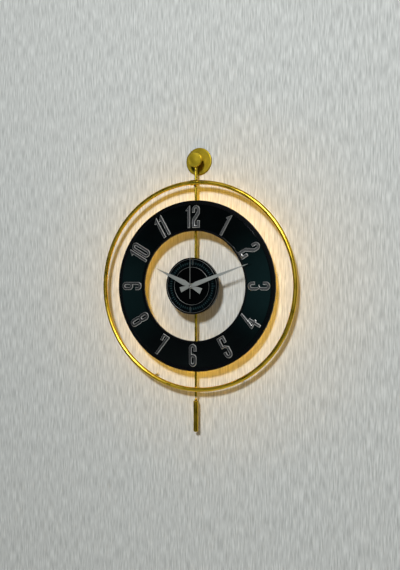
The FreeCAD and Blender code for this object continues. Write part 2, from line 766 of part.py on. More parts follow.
def train_bridge():
    """Plate on three pillars that carries the front pivots of the fast arbors."""
    left, right = PILLARS[0][0] - BRIDGE_EDGE, PILLARS[1][0] + BRIDGE_EDGE
    low, high = PILLARS[2][1] - BRIDGE_EDGE, PILLARS[0][1] + BRIDGE_EDGE
    points = [(left, HUB_Z + low), (right, HUB_Z + low), (right, HUB_Z + high), (left, HUB_Z + high)]
    body = plate(points, INNER_Y + S_BRIDGE[0], INNER_Y + S_BRIDGE[1])
    body = body.cut(shaft(ARBOR_R + RUN, *S_BRIDGE))
    body = body.cut(shaft(SHAFT_R + RUN, *S_BRIDGE, *THIRD_AT))
    for at in (FAST_AT, ROTOR_AT):
        body = body.cut(pivot_hole(at, *S_BRIDGE))
    return body


def arbor(at, s0, s1, front, rear):
    """A shaft between s0 and s1 with fine pivots reaching on to front and rear."""
    pivot = shaft(PIVOT_R, front, rear, *at)
    return joined([shaft(SHAFT_R, s0, s1, *at), pivot])


PHASE_THIRD_PINION = meshed(0, CENTRE_TEETH, LOW_PINION, THIRD_ANGLE)
PHASE_SECOND_PINION = meshed(0, THIRD_TEETH, LOW_PINION, THIRD_ANGLE + 180)
PHASE_FAST_PINION = meshed(0, SECOND_TEETH, FAST_PINION, 90)
PHASE_ROTOR = meshed(0, FAST_TEETH, ROTOR_PINION, ROTOR_ANGLE)
PHASE_MINUTE = meshed(0, CANNON_TEETH, MINUTE_TEETH, 180)
PHASE_HOUR = meshed(0, MINUTE_PINION, HOUR_TEETH, 0)
PHASE_SET = meshed(PHASE_MINUTE, MINUTE_TEETH, SET_TEETH, 90)


def centre_wheel():
    wheel = gear(CENTRE_TEETH, CENTRE_M, S_CENTRE, 0, 0, 0)
    return wheel.cut(shaft(PIPE_R + RUN / 2, *S_CENTRE))


def third_wheel():
    pinion = gear(LOW_PINION, CENTRE_M, S_CENTRE, *THIRD_AT, PHASE_THIRD_PINION)
    wheel = gear(THIRD_TEETH, THIRD_M, S_THIRD, *THIRD_AT, 0)
    stem = arbor(THIRD_AT, END_PLAY, S_COVER - END_PLAY, -PIVOT_L, S_COVER + PIVOT_L)
    return joined([pinion, wheel, stem])


def second_wheel():
    pinion = gear(LOW_PINION, THIRD_M, S_THIRD, 0, 0, PHASE_SECOND_PINION)
    wheel = gear(SECOND_TEETH, SECOND_M, S_SECOND, 0, 0, 0)
    tip = SECOND_Y - INNER_Y
    stem = shaft(ARBOR_R, tip, S_COVER - END_PLAY)
    pivot = shaft(PIVOT_R, S_SECOND[1], S_COVER + PIVOT_L)
    return joined([pinion, wheel, stem, pivot])


def intermediate_wheel():
    pinion = gear(FAST_PINION, SECOND_M, S_SECOND, *FAST_AT, PHASE_FAST_PINION)
    wheel = gear(FAST_TEETH, FAST_M, S_FAST, *FAST_AT, 0)
    stem = arbor(FAST_AT, S_BRIDGE[1] + END_PLAY, S_COVER - END_PLAY,
                 S_BRIDGE[0], S_COVER + PIVOT_L)
    return joined([pinion, wheel, stem])


def rotor():
    pinion = gear(ROTOR_PINION, FAST_M, S_FAST, *ROTOR_AT, PHASE_ROTOR)
    magnet = shaft(MAGNET_R, *S_MAGNET, *ROTOR_AT)
    stem = arbor(ROTOR_AT, S_BRIDGE[1] + END_PLAY, S_COVER - END_PLAY,
                 S_BRIDGE[0], S_COVER + PIVOT_L)
    return joined([pinion, magnet, stem])


def stator():
    """Soft-iron yoke round the rotor, with a core that runs through the coil."""
    yoke = shaft(STATOR_R, *S_STATOR, *ROTOR_AT)
    core = box(CORE_X[0], CORE_X[1], INNER_Y + S_STATOR[0], INNER_Y + S_STATOR[1],
               HUB_Z + CORE_Z[0], HUB_Z + CORE_Z[1])
    body = joined([yoke, core])
    return body.cut(shaft(MAGNET_R + STATOR_GAP, *S_STATOR, *ROTOR_AT))


def coil():
    body = box(COIL_X[0], COIL_X[1], INNER_Y + COIL_S, INNER_Y + S_COVER,
               HUB_Z + CORE_Z[0] - COIL_MARGIN / 2, HUB_Z + CORE_Z[1] + COIL_MARGIN)
    return body.cut(stator())


def circuit_board():
    """Small board on the cover's inner face."""
    front = INNER_Y + S_COVER - BOARD_T
    sheet = box(*BOARD_X, front, front + BOARD_T, HUB_Z + BOARD_Z[0], HUB_Z + BOARD_Z[1])
    driver = box(*DRIVER_X, front - DRIVER_T, front, HUB_Z + DRIVER_Z[0], HUB_Z + DRIVER_Z[1])
    crystal = box(*CRYSTAL_X, front - CRYSTAL_T, front,
                  HUB_Z + CRYSTAL_Z[0], HUB_Z + CRYSTAL_Z[1])
    return joined([sheet, driver, crystal])


def battery_contacts():
    """Spring plate at the left end of the bay, flat plate at the right."""
    wall = CASE_W / 2 - CASE_WALL
    half = CONTACT_H / 2
    right = box(wall - CONTACT_T, wall, CELL_Y - half, CELL_Y + half, CELL_Z - half, CELL_Z + half)
    left = box(-wall, -wall + CONTACT_T, CELL_Y - half, CELL_Y + half, CELL_Z - half, CELL_Z + half)
    cell_left = wall - CONTACT_T - CELL_NUB_L - CELL_L
    reach = cell_left + wall - CONTACT_T
    spring = Part.makeCone(*SPRING_R, reach, V(-wall + CONTACT_T, CELL_Y, CELL_Z), V(1, 0, 0))
    return Part.makeCompound([right, joined([left, spring])])


def battery():
    """AA cell lying across the bay, its button to the right."""
    right = CASE_W / 2 - CASE_WALL - CONTACT_T - CELL_NUB_L
    can = Part.makeCylinder(CELL_R, CELL_L, V(right - CELL_L, CELL_Y, CELL_Z), V(1, 0, 0))
    nub = Part.makeCylinder(CELL_NUB_R, CELL_NUB_L, V(right, CELL_Y, CELL_Z), V(1, 0, 0))
    return joined([can, nub])


def minute_pipe():
    """Cannon pinion and the pipe that carries the minute hand."""
    front = MINUTE_Y - MINUTE_PIPE_PROUD
    body = disc(PIPE_R, front, INNER_Y + S_CENTRE[1] + 0.1)
    pinion = gear(CANNON_TEETH, MOTION_M, S_MINUTE, 0, 0, 0)
    body = joined([body, pinion])
    return body.cut(disc(ARBOR_R + RUN, front, INNER_Y + S_CENTRE[1] + 0.1))


def minute_wheel():
    wheel = gear(MINUTE_TEETH, MOTION_M, S_MINUTE, *MINUTE_AT, PHASE_MINUTE)
    pinion = gear(MINUTE_PINION, HOUR_M, (S_HOUR[0], S_MINUTE[0]), *MINUTE_AT, 0)
    stem = arbor(MINUTE_AT, END_PLAY, S_COVER - END_PLAY, -PIVOT_L, S_COVER + PIVOT_L)
    return joined([wheel, pinion, stem])


def hour_wheel():
    front = HOUR_Y - HOUR_PIPE_PROUD
    pipe = disc(HOUR_PIPE_R, front, INNER_Y + S_HOUR[1])
    wheel = gear(HOUR_TEETH, HOUR_M, S_HOUR, 0, 0, PHASE_HOUR)
    return joined([pipe, wheel]).cut(disc(HOUR_BORE_R, front, INNER_Y + S_HOUR[1]))


def set_knob():
    """Knurled setting knob behind the cover, with its pinion in the movement."""
    pinion = gear(SET_TEETH, MOTION_M, S_MINUTE, *SET_AT, PHASE_SET)
    rear = S_COVER + COVER_T + END_PLAY
    stem = shaft(SET_SHAFT_R, END_PLAY, rear, *SET_AT)
    pivot = shaft(PIVOT_R, -PIVOT_L, END_PLAY, *SET_AT)
    grip = gear(SET_KNOB_RIBS, 2 * SET_KNOB_R / SET_KNOB_RIBS, (rear, rear + SET_KNOB_L),
                *SET_AT, 0)
    return joined([pinion, stem, pivot, grip])


def fixing_nut():
    corner = NUT_FLATS / math.sqrt(3)
    points = []
    for index in range(6):
        x, z = along(corner, 60 * index)
        points.append((x, HUB_Z + z))
    body = plate(points, DISC_FRONT_Y - NUT_T, DISC_FRONT_Y)
    return body.cut(disc(BUSH_R, DISC_FRONT_Y - NUT_T, DISC_FRONT_Y))


# ---- hands ----
def aimed(shape, angle):
    """A hand drawn at twelve, turned clockwise to its place."""
    shape.rotate(V(0, 0, HUB_Z), V(0, 1, 0), angle)
    return shape


def pointer(widths, tail_end, front, bore, collet_r):
    """A lance-shaped hand with a flared tail and a collet behind its hub."""
    tail, tail_width = tail_end
    blade = [(-width / 2, HUB_Z + away) for away, width in widths]
    blade += [(width / 2, HUB_Z + away) for away, width in reversed(widths)]
    flare = [(-HAND_WAIST_W / 2, HUB_Z), (-tail_width / 2, HUB_Z - tail),
             (tail_width / 2, HUB_Z - tail), (HAND_WAIST_W / 2, HUB_Z)]
    rear = front + HAND_T
    hub = disc(HUB_R, front, rear)
    collet = disc(collet_r, front, rear + COLLET_L)
    body = joined([plate(blade, front, rear), plate(flare, front, rear), hub, collet])
    return body.cut(disc(bore, front, rear + COLLET_L))


def hour_hand():
    return aimed(pointer(HOUR_BLADE, HOUR_TAIL, HOUR_Y, HOUR_PIPE_R, HOUR_PIPE_R + COLLET_WALL), HOUR_ANGLE)


def minute_hand():
    return aimed(pointer(MINUTE_BLADE, MINUTE_TAIL, MINUTE_Y, PIPE_R, PIPE_R + COLLET_WALL), MINUTE_ANGLE)


def second_hand():
    """Fine straight hand with a domed cap that closes the arbor's end."""
    half, tip_half = SECOND_W / 2, SECOND_TIP_W / 2
    rear = SECOND_Y + SECOND_T
    blade = [(-half, HUB_Z - SECOND_TAIL), (-tip_half, HUB_Z + SECOND_L),
             (tip_half, HUB_Z + SECOND_L), (half, HUB_Z - SECOND_TAIL)]
    body = joined([plate(blade, SECOND_Y, rear), disc(DOME_R, SECOND_Y, rear)])
    body = body.cut(disc(ARBOR_R, SECOND_Y, rear))
    ball_r = (DOME_R ** 2 + DOME_H ** 2) / (2 * DOME_H)
    ball = Part.makeSphere(ball_r, V(0, SECOND_Y - DOME_H + ball_r, HUB_Z))
    dome = ball.common(disc(DOME_R, SECOND_Y - DOME_H, SECOND_Y))
    return aimed(joined([body, dome]), SECOND_ANGLE)


# ---- pendulum ----
def pendulum_bracket():
    """Foot on the centre bracket and a headed pivot post."""
    eye_front = SPINE_Y - PIVOT_EYE_T / 2 - END_PLAY
    eye_rear = SPINE_Y + PIVOT_EYE_T / 2 + END_PLAY
    foot = box(-PIVOT_FOOT, PIVOT_FOOT, PLATE_REAR_Y, PLATE_REAR_Y + PLATE_T,
               PIVOT_Z - PIVOT_FOOT, PIVOT_Z + PIVOT_FOOT)
    post = disc(PIVOT_POST_R, PLATE_REAR_Y + PLATE_T, eye_front, 0, PIVOT_Z)
    pin = disc(PIVOT_PIN_R, eye_front, eye_rear, 0, PIVOT_Z)
    head = disc(PIVOT_HEAD_R, eye_rear, eye_rear + PIVOT_HEAD_T, 0, PIVOT_Z)
    return joined([foot, post, pin, head])


def pendulum_rod():
    """Rod with an eye at its top and a threaded neck at its foot."""
    eye = disc(PIVOT_EYE_R, SPINE_Y - PIVOT_EYE_T / 2, SPINE_Y + PIVOT_EYE_T / 2, 0, PIVOT_Z)
    rod = upright(PENDULUM_R, BOB_TOP_Z + NECK_L, PIVOT_Z - PIVOT_PIN_R - 1.5)
    neck = upright(NECK_R, BOB_TOP_Z - BOB_SOCKET, BOB_TOP_Z + NECK_L)
    body = joined([eye, rod, neck])
    return body.cut(disc(PIVOT_PIN_R + RUN, SPINE_Y - PIVOT_EYE_T, SPINE_Y + PIVOT_EYE_T, 0, PIVOT_Z))


def rating_nut():
    """Rounded nut that locks the bob on the neck."""
    low = BOB_TOP_Z
    body = upright(RATING_NUT_R, low, low + RATING_NUT_H)
    rims = [e for e in body.Edges if e.BoundBox.ZLength < 1e-6]
    body = body.makeFillet(0.42 * RATING_NUT_H, rims)
    return body.cut(upright(NECK_R, low, low + RATING_NUT_H))


def pendulum_bob():
    top = BOB_TOP_Z
    body = upright(BOB_R, top - BOB_L, top)
    rims = [e for e in body.Edges if e.BoundBox.ZLength < 1e-6]
    body = body.makeChamfer(BOB_CHAMFER, rims)
    return body.cut(upright(NECK_R, top - BOB_SOCKET, top))


PIECES = [
    wall_flange, wall_peg, peg_cap,
    hanger_eye, spine_rod, hoop, hoop_sleeve, sleeve_screw, foot_pins, foot_pads,
    dial_base_ring, dial_face_ring, ring_clamps, clamp_screws,
    led_channel, led_strip, led_diffuser, dc_inlet,
    centre_dial, centre_bezel, track_ring, centre_markers, centre_bracket,
    fixing_nut,
    movement_case, rear_cover, train_bridge, stator, coil, circuit_board,
    battery_contacts, battery, rotor, intermediate_wheel, second_wheel, third_wheel,
    centre_wheel, minute_pipe, minute_wheel, hour_wheel, set_knob,
    hour_hand, minute_hand, second_hand,
    pendulum_bracket, pendulum_rod, rating_nut, pendulum_bob,
]

for piece in PIECES:
    save(piece.__name__, piece())

for hour in range(1, 13):
    save("numeral_%d" % hour, numeral(hour))
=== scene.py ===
import json
import math

import bpy
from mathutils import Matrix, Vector


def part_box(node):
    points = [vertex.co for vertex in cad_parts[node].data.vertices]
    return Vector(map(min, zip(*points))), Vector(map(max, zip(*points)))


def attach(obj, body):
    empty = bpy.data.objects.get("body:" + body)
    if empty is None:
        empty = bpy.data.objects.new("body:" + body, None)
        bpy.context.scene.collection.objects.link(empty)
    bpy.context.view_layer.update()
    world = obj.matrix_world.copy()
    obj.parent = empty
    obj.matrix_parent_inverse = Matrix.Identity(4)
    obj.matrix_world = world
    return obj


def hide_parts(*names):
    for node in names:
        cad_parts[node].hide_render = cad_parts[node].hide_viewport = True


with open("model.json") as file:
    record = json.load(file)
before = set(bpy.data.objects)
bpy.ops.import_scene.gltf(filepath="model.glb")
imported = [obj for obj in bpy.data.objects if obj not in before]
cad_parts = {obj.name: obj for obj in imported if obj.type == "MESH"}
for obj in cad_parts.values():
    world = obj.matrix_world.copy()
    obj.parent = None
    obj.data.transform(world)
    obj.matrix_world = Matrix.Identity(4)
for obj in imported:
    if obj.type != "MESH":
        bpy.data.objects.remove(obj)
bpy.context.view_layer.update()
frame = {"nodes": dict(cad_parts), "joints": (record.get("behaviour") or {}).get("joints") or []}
scene = bpy.context.scene

# --------------------
# Studio: a pale wall with fine upright streaks, and a pale floor well below the clock.
# The wall is seen only from the front, so that the clock's rear shows in views from behind.
# --------------------
HUB_Z = sum(corner.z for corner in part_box("centre_dial")) / 2


def new_material(name, colour=(0.8, 0.8, 0.8), metallic=0.0, roughness=0.5, specular=0.5):
    """A material, its node tree and its shader, with the plain values set."""
    material = bpy.data.materials.new(name)
    material.use_nodes = True
    tree = material.node_tree
    shader = tree.nodes["Principled BSDF"]
    shader.inputs["Base Color"].default_value = (*colour, 1)
    shader.inputs["Metallic"].default_value = metallic
    shader.inputs["Roughness"].default_value = roughness
    shader.inputs["Specular IOR Level"].default_value = specular
    return material, tree, shader


def add_node(tree, kind, operation=None, **sockets):
    """The first output of a shader node with these values or links on its sockets."""
    made = tree.nodes.new("ShaderNode" + kind)
    if operation:
        made.operation = operation
    for socket, value in sockets.items():
        numbered = socket[0] == "i" and socket[1:].isdigit()
        key = int(socket[1:]) if numbered else socket.replace("_", " ")
        if isinstance(value, bpy.types.NodeSocket):
            tree.links.new(value, made.inputs[key])
        else:
            made.inputs[key].default_value = value
    return made.outputs[0]


def object_position(tree):
    """Where a point lies on the clock, in metres."""
    return tree.nodes.new("ShaderNodeTexCoord").outputs["Object"]


def relief(tree, shader, height, strength, distance):
    """Fine bumps on a surface."""
    bump = add_node(tree, "Bump", Height=height, Strength=strength, Distance=distance)
    tree.links.new(bump, shader.inputs["Normal"])


def vary(tree, shader, socket, source, low, high, source_low=0.3, source_high=0.7):
    """Spreads a value on one of the shader's sockets between low and high."""
    spread = add_node(tree, "MapRange", Value=source, From_Min=source_low, From_Max=source_high,
                      To_Min=low, To_Max=high)
    tree.links.new(spread, shader.inputs[socket])


def layer(tree, factor, under, over):
    """One colour laid over another where the factor is one."""
    mix = tree.nodes.new("ShaderNodeMix")
    mix.data_type = "RGBA"
    tree.links.new(factor, mix.inputs["Factor"])
    for index, colour in ((6, under), (7, over)):
        if isinstance(colour, bpy.types.NodeSocket):
            tree.links.new(colour, mix.inputs[index])
        else:
            mix.inputs[index].default_value = (*colour, 1)
    return mix.outputs[2]


def blend_colours(tree, shader, source, first, second, source_low=0.3, source_high=0.7):
    """Spreads the base colour between two tones."""
    share = add_node(tree, "MapRange", Value=source, From_Min=source_low, From_Max=source_high)
    tree.links.new(layer(tree, share, first, second), shader.inputs["Base Color"])


def deselect():
    bpy.ops.object.select_all(action="DESELECT")


deselect()
bpy.ops.mesh.primitive_plane_add(size=1, location=(0, 0.0004, -0.2),
                                 rotation=(math.radians(90), 0, 0))
wall = bpy.context.object
wall.name = "studio_wall"
wall.scale = (6.0, 3.2, 1)
wall_paint, tree, shader = new_material("wall_paper", (0.62, 0.62, 0.56), 0.0, 0.85, 0.2)
STREAKS = (2000.0, 92.0, 1.0)      # fine across, drawn out upwards
stretched = add_node(tree, "VectorMath", "MULTIPLY", i0=object_position(tree), i1=STREAKS)
reeds = add_node(tree, "TexNoise", Vector=stretched, Scale=1.0, Detail=2.0, Distortion=0.15)
blend_colours(tree, shader, reeds, (0.418, 0.431, 0.426), (0.688, 0.704, 0.696), 0.28, 0.72)
relief(tree, shader, reeds, 0.2, 0.0008)
from_behind = tree.nodes.new("ShaderNodeNewGeometry").outputs["Backfacing"]
to_a_lamp = tree.nodes.new("ShaderNodeLightPath").outputs["Is Shadow Ray"]
see_through = add_node(tree, "Math", "MAXIMUM", i0=from_behind, i1=to_a_lamp)
clear = add_node(tree, "BsdfTransparent")
mixed = add_node(tree, "MixShader", i0=see_through, i1=shader.outputs[0], i2=clear)
tree.links.new(mixed, tree.nodes["Material Output"].inputs["Surface"])
wall.data.materials.append(wall_paint)

deselect()
bpy.ops.mesh.primitive_plane_add(size=5.2, location=(0, 0, -1.8))
floor = bpy.context.object
floor.name = "studio_floor"
floor_paint, tree, shader = new_material("floor_paint", (0.56, 0.55, 0.52), 0.0, 0.7)
floor.data.materials.append(floor_paint)


# --------------------
# Camera: level with the hands, about a metre and a half away, 23 degrees to the clock's right.
# --------------------
CAMERA_TURN = math.radians(23.36)
bpy.ops.object.camera_add(location=(0.614, -1.417, HUB_Z + 0.0024),
                          rotation=(math.radians(90), 0, CAMERA_TURN))
camera = bpy.context.object
camera.data.sensor_width = 36.0
camera.data.lens = 40.4
scene.camera = camera


# --------------------
# Wall peg: flange, stepped post and cap, turned from steel and satin gold plated.
# The flange is pressed on the post, which screws on a stud in the wall; the cap screws in last
# and keeps the hanging eye on its journal.
# --------------------
TURN = 2 * math.pi


def reach(node):
    """A CAD node's middle, and half its width, depth and height."""
    low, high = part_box(node)
    return (low + high) / 2, (high - low) / 2


def arc(radius, along, size, start, end, count=5):
    """Points of a rounded edge for an outline, between two angles in degrees."""
    turns = [math.radians(start + (end - start) * step / count) for step in range(count + 1)]
    return [(radius + size * math.cos(turn), along + size * math.sin(turn)) for turn in turns]


def flat_first(piece, angle=38):
    """Smooth shading that keeps the large flat faces flat next to their softened edges."""
    bpy.ops.object.shade_smooth_by_angle(angle=math.radians(angle))
    lean = piece.modifiers.new("flat_first", "WEIGHTED_NORMAL")
    lean.keep_sharp = True
    bpy.ops.object.modifier_apply(modifier=lean.name)


def finish_mesh(piece, edge=0.0, segments=2, angle=35):
    """Merges doubles, turns faces outwards, softens the edges and shades the piece smooth."""
    bpy.context.view_layer.objects.active = piece
    piece.select_set(True)
    bpy.ops.object.mode_set(mode="EDIT")
    bpy.ops.mesh.select_all(action="SELECT")
    bpy.ops.mesh.remove_doubles(threshold=2e-6)
    bpy.ops.mesh.normals_make_consistent(inside=False)
    bpy.ops.object.mode_set(mode="OBJECT")
    if edge:
        soften = piece.modifiers.new("edges", "BEVEL")
        soften.width = edge
        soften.segments = segments
        soften.limit_method = "ANGLE"
        soften.angle_limit = math.radians(angle)
        soften.use_clamp_overlap = False
        bpy.ops.object.modifier_apply(modifier=soften.name)
    bpy.ops.object.transform_apply(location=True, rotation=True, scale=True)
    flat_first(piece)


def turned(name, outline, centre=(0, 0, 0), axis="Y", steps=96, edge=0.0002):
    """A piece turned on a lathe: an outline of (radius, place along the axis) spun right round."""
    outward = Vector((0, 0, 1)) if axis == "X" else Vector((1, 0, 0))
    direction = Vector([float(letter == axis) for letter in "XYZ"])
    base = Vector(centre) - direction * Vector(centre).dot(direction)
    points = [base + outward * radius + direction * along for radius, along in outline]
    deselect()
    bpy.ops.mesh.primitive_plane_add(size=0.001, location=(0, 0, 0))
    piece = bpy.context.object
    piece.name = name
    bpy.ops.object.mode_set(mode="EDIT")
    bpy.ops.mesh.merge(type="CENTER")
    bpy.ops.transform.translate(value=points[0])
    for point, following in zip(points, points[1:]):
        bpy.ops.mesh.extrude_vertices_move(TRANSFORM_OT_translate={"value": following - point})
    bpy.ops.mesh.select_all(action="SELECT")
    bpy.ops.mesh.spin(steps=steps, angle=TURN, center=base, axis=direction)
    bpy.ops.object.mode_set(mode="OBJECT")
    finish_mesh(piece, edge)
    return piece


def fit(piece, material, slot, body, *replaced):
    """Gives a piece its finish and its body, and hides the CAD nodes it stands for; slot is not
    used.
    """
    piece.data.materials.clear()
    piece.data.materials.append(material)
    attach(piece, body)
    if replaced:
        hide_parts(*replaced)


def polar_position(tree, x, z):
    """Angle round an axis along Y, distance from it, and place along it."""
    parts = add_node(tree, "SeparateXYZ", i0=object_position(tree)).node
    across = add_node(tree, "Math", "SUBTRACT", i0=parts.outputs["X"], i1=x)
    up = add_node(tree, "Math", "SUBTRACT", i0=parts.outputs["Z"], i1=z)
    angle = add_node(tree, "Math", "ARCTAN2", i0=across, i1=up)
    flat = add_node(tree, "CombineXYZ", X=across, Y=up)
    length = add_node(tree, "VectorMath", "LENGTH", i0=flat).node
    return angle, length.outputs["Value"], parts.outputs["Y"]


def grain_about(tree, x, z, around, across):
    """Noise drawn out round an axis along Y: lathe marks, or the polish of a bent tube."""
    angle, radius, along = polar_position(tree, x, z)
    where = add_node(tree, "CombineXYZ",
                     X=add_node(tree, "Math", "MULTIPLY", i0=angle, i1=around),
                     Y=add_node(tree, "Math", "MULTIPLY", i0=radius, i1=across),
                     Z=add_node(tree, "Math", "MULTIPLY", i0=along, i1=across))
    return add_node(tree, "TexNoise", Vector=where, Scale=1.0, Detail=4.0, Roughness=0.6)


def grain_along(tree, along, across, turn=(0, 0, 0), centre=(0, 0, 0)):
    """Noise drawn out along Z, or along a turned direction: brush marks on straight pieces."""
    moved = add_node(tree, "VectorMath", "SUBTRACT", i0=object_position(tree), i1=centre)
    where = add_node(tree, "Mapping", Vector=moved, Rotation=turn)
    where = add_node(tree, "VectorMath", "MULTIPLY", i0=where, i1=(across, across, along))
    return add_node(tree, "TexNoise", Vector=where, Scale=1.0, Detail=4.0, Roughness=0.6)


def even_noise(tree, fineness, detail):
    """Noise that runs in no direction."""
    return add_node(tree, "TexNoise", Vector=object_position(tree), Scale=fineness, Detail=detail)


def satin_gold(way, marks, low, high, depth=1.0, lacquer=0.0, green=1.0):
    """Greenish satin gold plate under lacquer: tone and sheen follow the brush marks; depth scales
    the colour per piece as painted light or shade.
    """
    material, tree, shader = new_material("satin_gold_" + way, (0.66, 0.52, 0.10), 1.0, 0.38)
    grain = marks[0](tree, *marks[1:])
    dark, light = (0.61, 0.437 * green, 0.026), (0.78, 0.573 * green, 0.048)
    # depth above one paints light into the gold and below one paints shade: lit and shaded copies
    # of one plate.
    dark, light = [tuple(depth * part for part in tone) for tone in (dark, light)]
    cloud = even_noise(tree, 38.0, 3.0)
    tone = add_node(tree, "Math", "ADD", i0=grain, i1=cloud)
    blend_colours(tree, shader, tone, dark, light, 0.8, 1.2)
    vary(tree, shader, "Roughness", tone, low, high, 0.8, 1.2)
    relief(tree, shader, grain, 0.06, 0.0003)
    shader.inputs["Coat Weight"].default_value = lacquer
    shader.inputs["Coat Roughness"].default_value = 0.12
    return material


# depth 0.58 paints the flange, post, eyes and pins darker than the cap: painted shade.
gold_turned = satin_gold("turned", (grain_about, 0.0, 0.0, 1.5, 2600.0), 0.34, 0.46, 0.58)

PEG_R = 0.007
FLANGE_ROUND = 0.0018
STUD_HOLE_R = 0.0025
THREAD_DEPTH = 0.0004
flange_half = reach("wall_flange")[1]
post_half = reach("wall_peg")[1]
cap_half = reach("peg_cap")[1]
flange_front = -2 * flange_half.y
flange_rim = arc(flange_half.x - FLANGE_ROUND, flange_front + FLANGE_ROUND, FLANGE_ROUND, 0, -90)
flange = turned("peg_flange", [(PEG_R, 0), (flange_half.x, 0)] + flange_rim
                + [(PEG_R + 0.0004, flange_front), (PEG_R, flange_front + 0.0004), (PEG_R, 0)],
                edge=0)
fit(flange, gold_turned, "gold", "wall_mount", "wall_flange")

END_PLAY = 0.0002        # left at each end of the hanging eye
shoulder_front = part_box("hanger_eye")[1].y + END_PLAY
journal_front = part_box("hanger_eye")[0].y - END_PLAY
hole_floor = -0.011
thread = []
for turn in range(10):
    groove = hole_floor + 0.0005 + turn * 0.001
    thread += [(STUD_HOLE_R, groove), (STUD_HOLE_R + THREAD_DEPTH, groove + 0.0005)]
post = turned("peg_post", [(0, hole_floor - 0.001), (STUD_HOLE_R, hole_floor)] + thread
              + [(STUD_HOLE_R, -0.0005), (STUD_HOLE_R + 0.0005, 0),
                 (PEG_R - 0.0003, 0), (PEG_R, -0.0003),
                 (PEG_R, flange_front), (post_half.x - 0.0004, flange_front),
                 (post_half.x, flange_front - 0.0004), (post_half.x, shoulder_front + 0.0004),
                 (post_half.x - 0.0004, shoulder_front), (PEG_R, shoulder_front),
                 (PEG_R, journal_front), (0, journal_front)], edge=0)
fit(post, gold_turned, "gold", "wall_mount", "wall_peg")

gold_cap = satin_gold("cap", (grain_about, 0.0, 0.0, 1.5, 2600.0), 0.30, 0.42, 1.0, 0.06)
cap_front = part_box("peg_cap")[0].y
cap_chamfer = 0.0011
cap = turned("peg_cap_turned",
             [(0, cap_front),
              (cap_half.x - cap_chamfer, cap_front), (cap_half.x, cap_front + cap_chamfer),
              (cap_half.x, journal_front - cap_chamfer), (cap_half.x - cap_chamfer, journal_front),
              (0, journal_front)], edge=0.00015)
fit(cap, gold_cap, "gold", "wall_mount", "peg_cap")


# --------------------
# Hanging rod: a 7 mm steel rod brazed into a turned eye, which hangs on the peg's journal.
# Its foot stands in the bracket's socket above the movement. Satin gold plated as one.
# --------------------
eye_at, eye_half = reach("hanger_eye")
rod_at, rod_half = reach("spine_rod")
EYE_CHAMFER = 0.0006
EYE_BORE_R = PEG_R + 0.00007
eye_front, eye_rear = eye_at.y - eye_half.y, eye_at.y + eye_half.y
eye = turned("hanging_eye",
             [(EYE_BORE_R, eye_front + EYE_CHAMFER), (EYE_BORE_R + EYE_CHAMFER, eye_front),
              (eye_half.x - EYE_CHAMFER, eye_front), (eye_half.x, eye_front + EYE_CHAMFER),
              (eye_half.x, eye_rear - EYE_CHAMFER), (eye_half.x - EYE_CHAMFER, eye_rear),
              (EYE_BORE_R + EYE_CHAMFER, eye_rear), (EYE_BORE_R, eye_rear - EYE_CHAMFER),
              (EYE_BORE_R, eye_front + EYE_CHAMFER)], edge=0.00015)
fit(eye, gold_turned, "gold", "clock", "hanger_eye")

gold_drawn = satin_gold("drawn", (grain_along, 14.0, 2400.0), 0.20, 0.30, 1.02, 0.10)
rod_low, rod_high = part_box("spine_rod")
ROD_R = rod_half.x
BRAZE = 0.0016
rod_top = rod_high.z
rod = turned("hanging_rod",
             [(0, rod_low.z), (ROD_R - 0.0005, rod_low.z), (ROD_R, rod_low.z + 0.0005),
              (ROD_R, -eye_half.z - BRAZE * 1.6), (ROD_R + 0.0004, -eye_half.z - BRAZE * 0.6),
              (ROD_R + BRAZE, -eye_half.z + 0.0006), (ROD_R, rod_top), (0, rod_top)],
             centre=(0, rod_at.y, 0), axis="Z", steps=40, edge=0)
fit(rod, gold_drawn, "gold", "clock", "spine_rod")


# --------------------
# Hoop: an 11 mm steel tube rolled to a circle, its two ends closed and held in a short sleeve at
# the top, which is brazed to the rod and pinned by a small set screw. Polished along its length.
# --------------------
hoop_at, hoop_half = reach("hoop")
TUBE_R = hoop_half.y
HOOP_R = hoop_half.x - TUBE_R
HOOP_GAP = 0.0012
# depth 1.12 paints the hoop and sleeve brighter than the cap: painted light for the room the tube
# reflects.
gold_bent = satin_gold("bent", (grain_about, 0.0, HUB_Z, 9.0, 1700.0), 0.25, 0.34, 1.12, green=0.91)


def bent_tube(name, radius, half_gap, sweep, steps):
    """A round tube bent about the hands' axis, clockwise from half_gap, with domed ends."""
    start = Vector((HOOP_R * math.sin(half_gap), hoop_at.y, HUB_Z + HOOP_R * math.cos(half_gap)))
    deselect()
    bpy.ops.mesh.primitive_circle_add(vertices=32, radius=radius, location=start,
                                      rotation=(0, math.radians(90) + half_gap, 0))
    piece = bpy.context.object
    piece.name = name
    bpy.ops.object.transform_apply(location=True, rotation=True, scale=True)
    bpy.ops.object.mode_set(mode="EDIT")
    bpy.ops.mesh.select_all(action="SELECT")
    bpy.ops.mesh.spin(steps=steps, angle=sweep, center=(0, hoop_at.y, HUB_Z), axis=(0, -1, 0))
    bpy.ops.mesh.select_all(action="SELECT")
    bpy.ops.mesh.region_to_loop()
    bpy.ops.mesh.edge_face_add()
    bpy.ops.object.mode_set(mode="OBJECT")
    return piece


half_gap = HOOP_GAP / 2 / HOOP_R
hoop = bent_tube("hoop_tube", TUBE_R, half_gap, TURN - 2 * half_gap, 288)
finish_mesh(hoop, 0.0004)
fit(hoop, gold_bent, "gold", "clock", "hoop")

sleeve_half = reach("hoop_sleeve")[1]
SLEEVE_WALL = 0.0013
sleeve_sweep = 2 * math.asin(sleeve_half.x / HOOP_R)
sleeve = bent_tube("hoop_sleeve_tube", TUBE_R + SLEEVE_WALL, -sleeve_sweep / 2, sleeve_sweep, 14)
finish_mesh(sleeve, 0.0006, 3)
fit(sleeve, gold_bent, "gold", "clock", "hoop_sleeve")


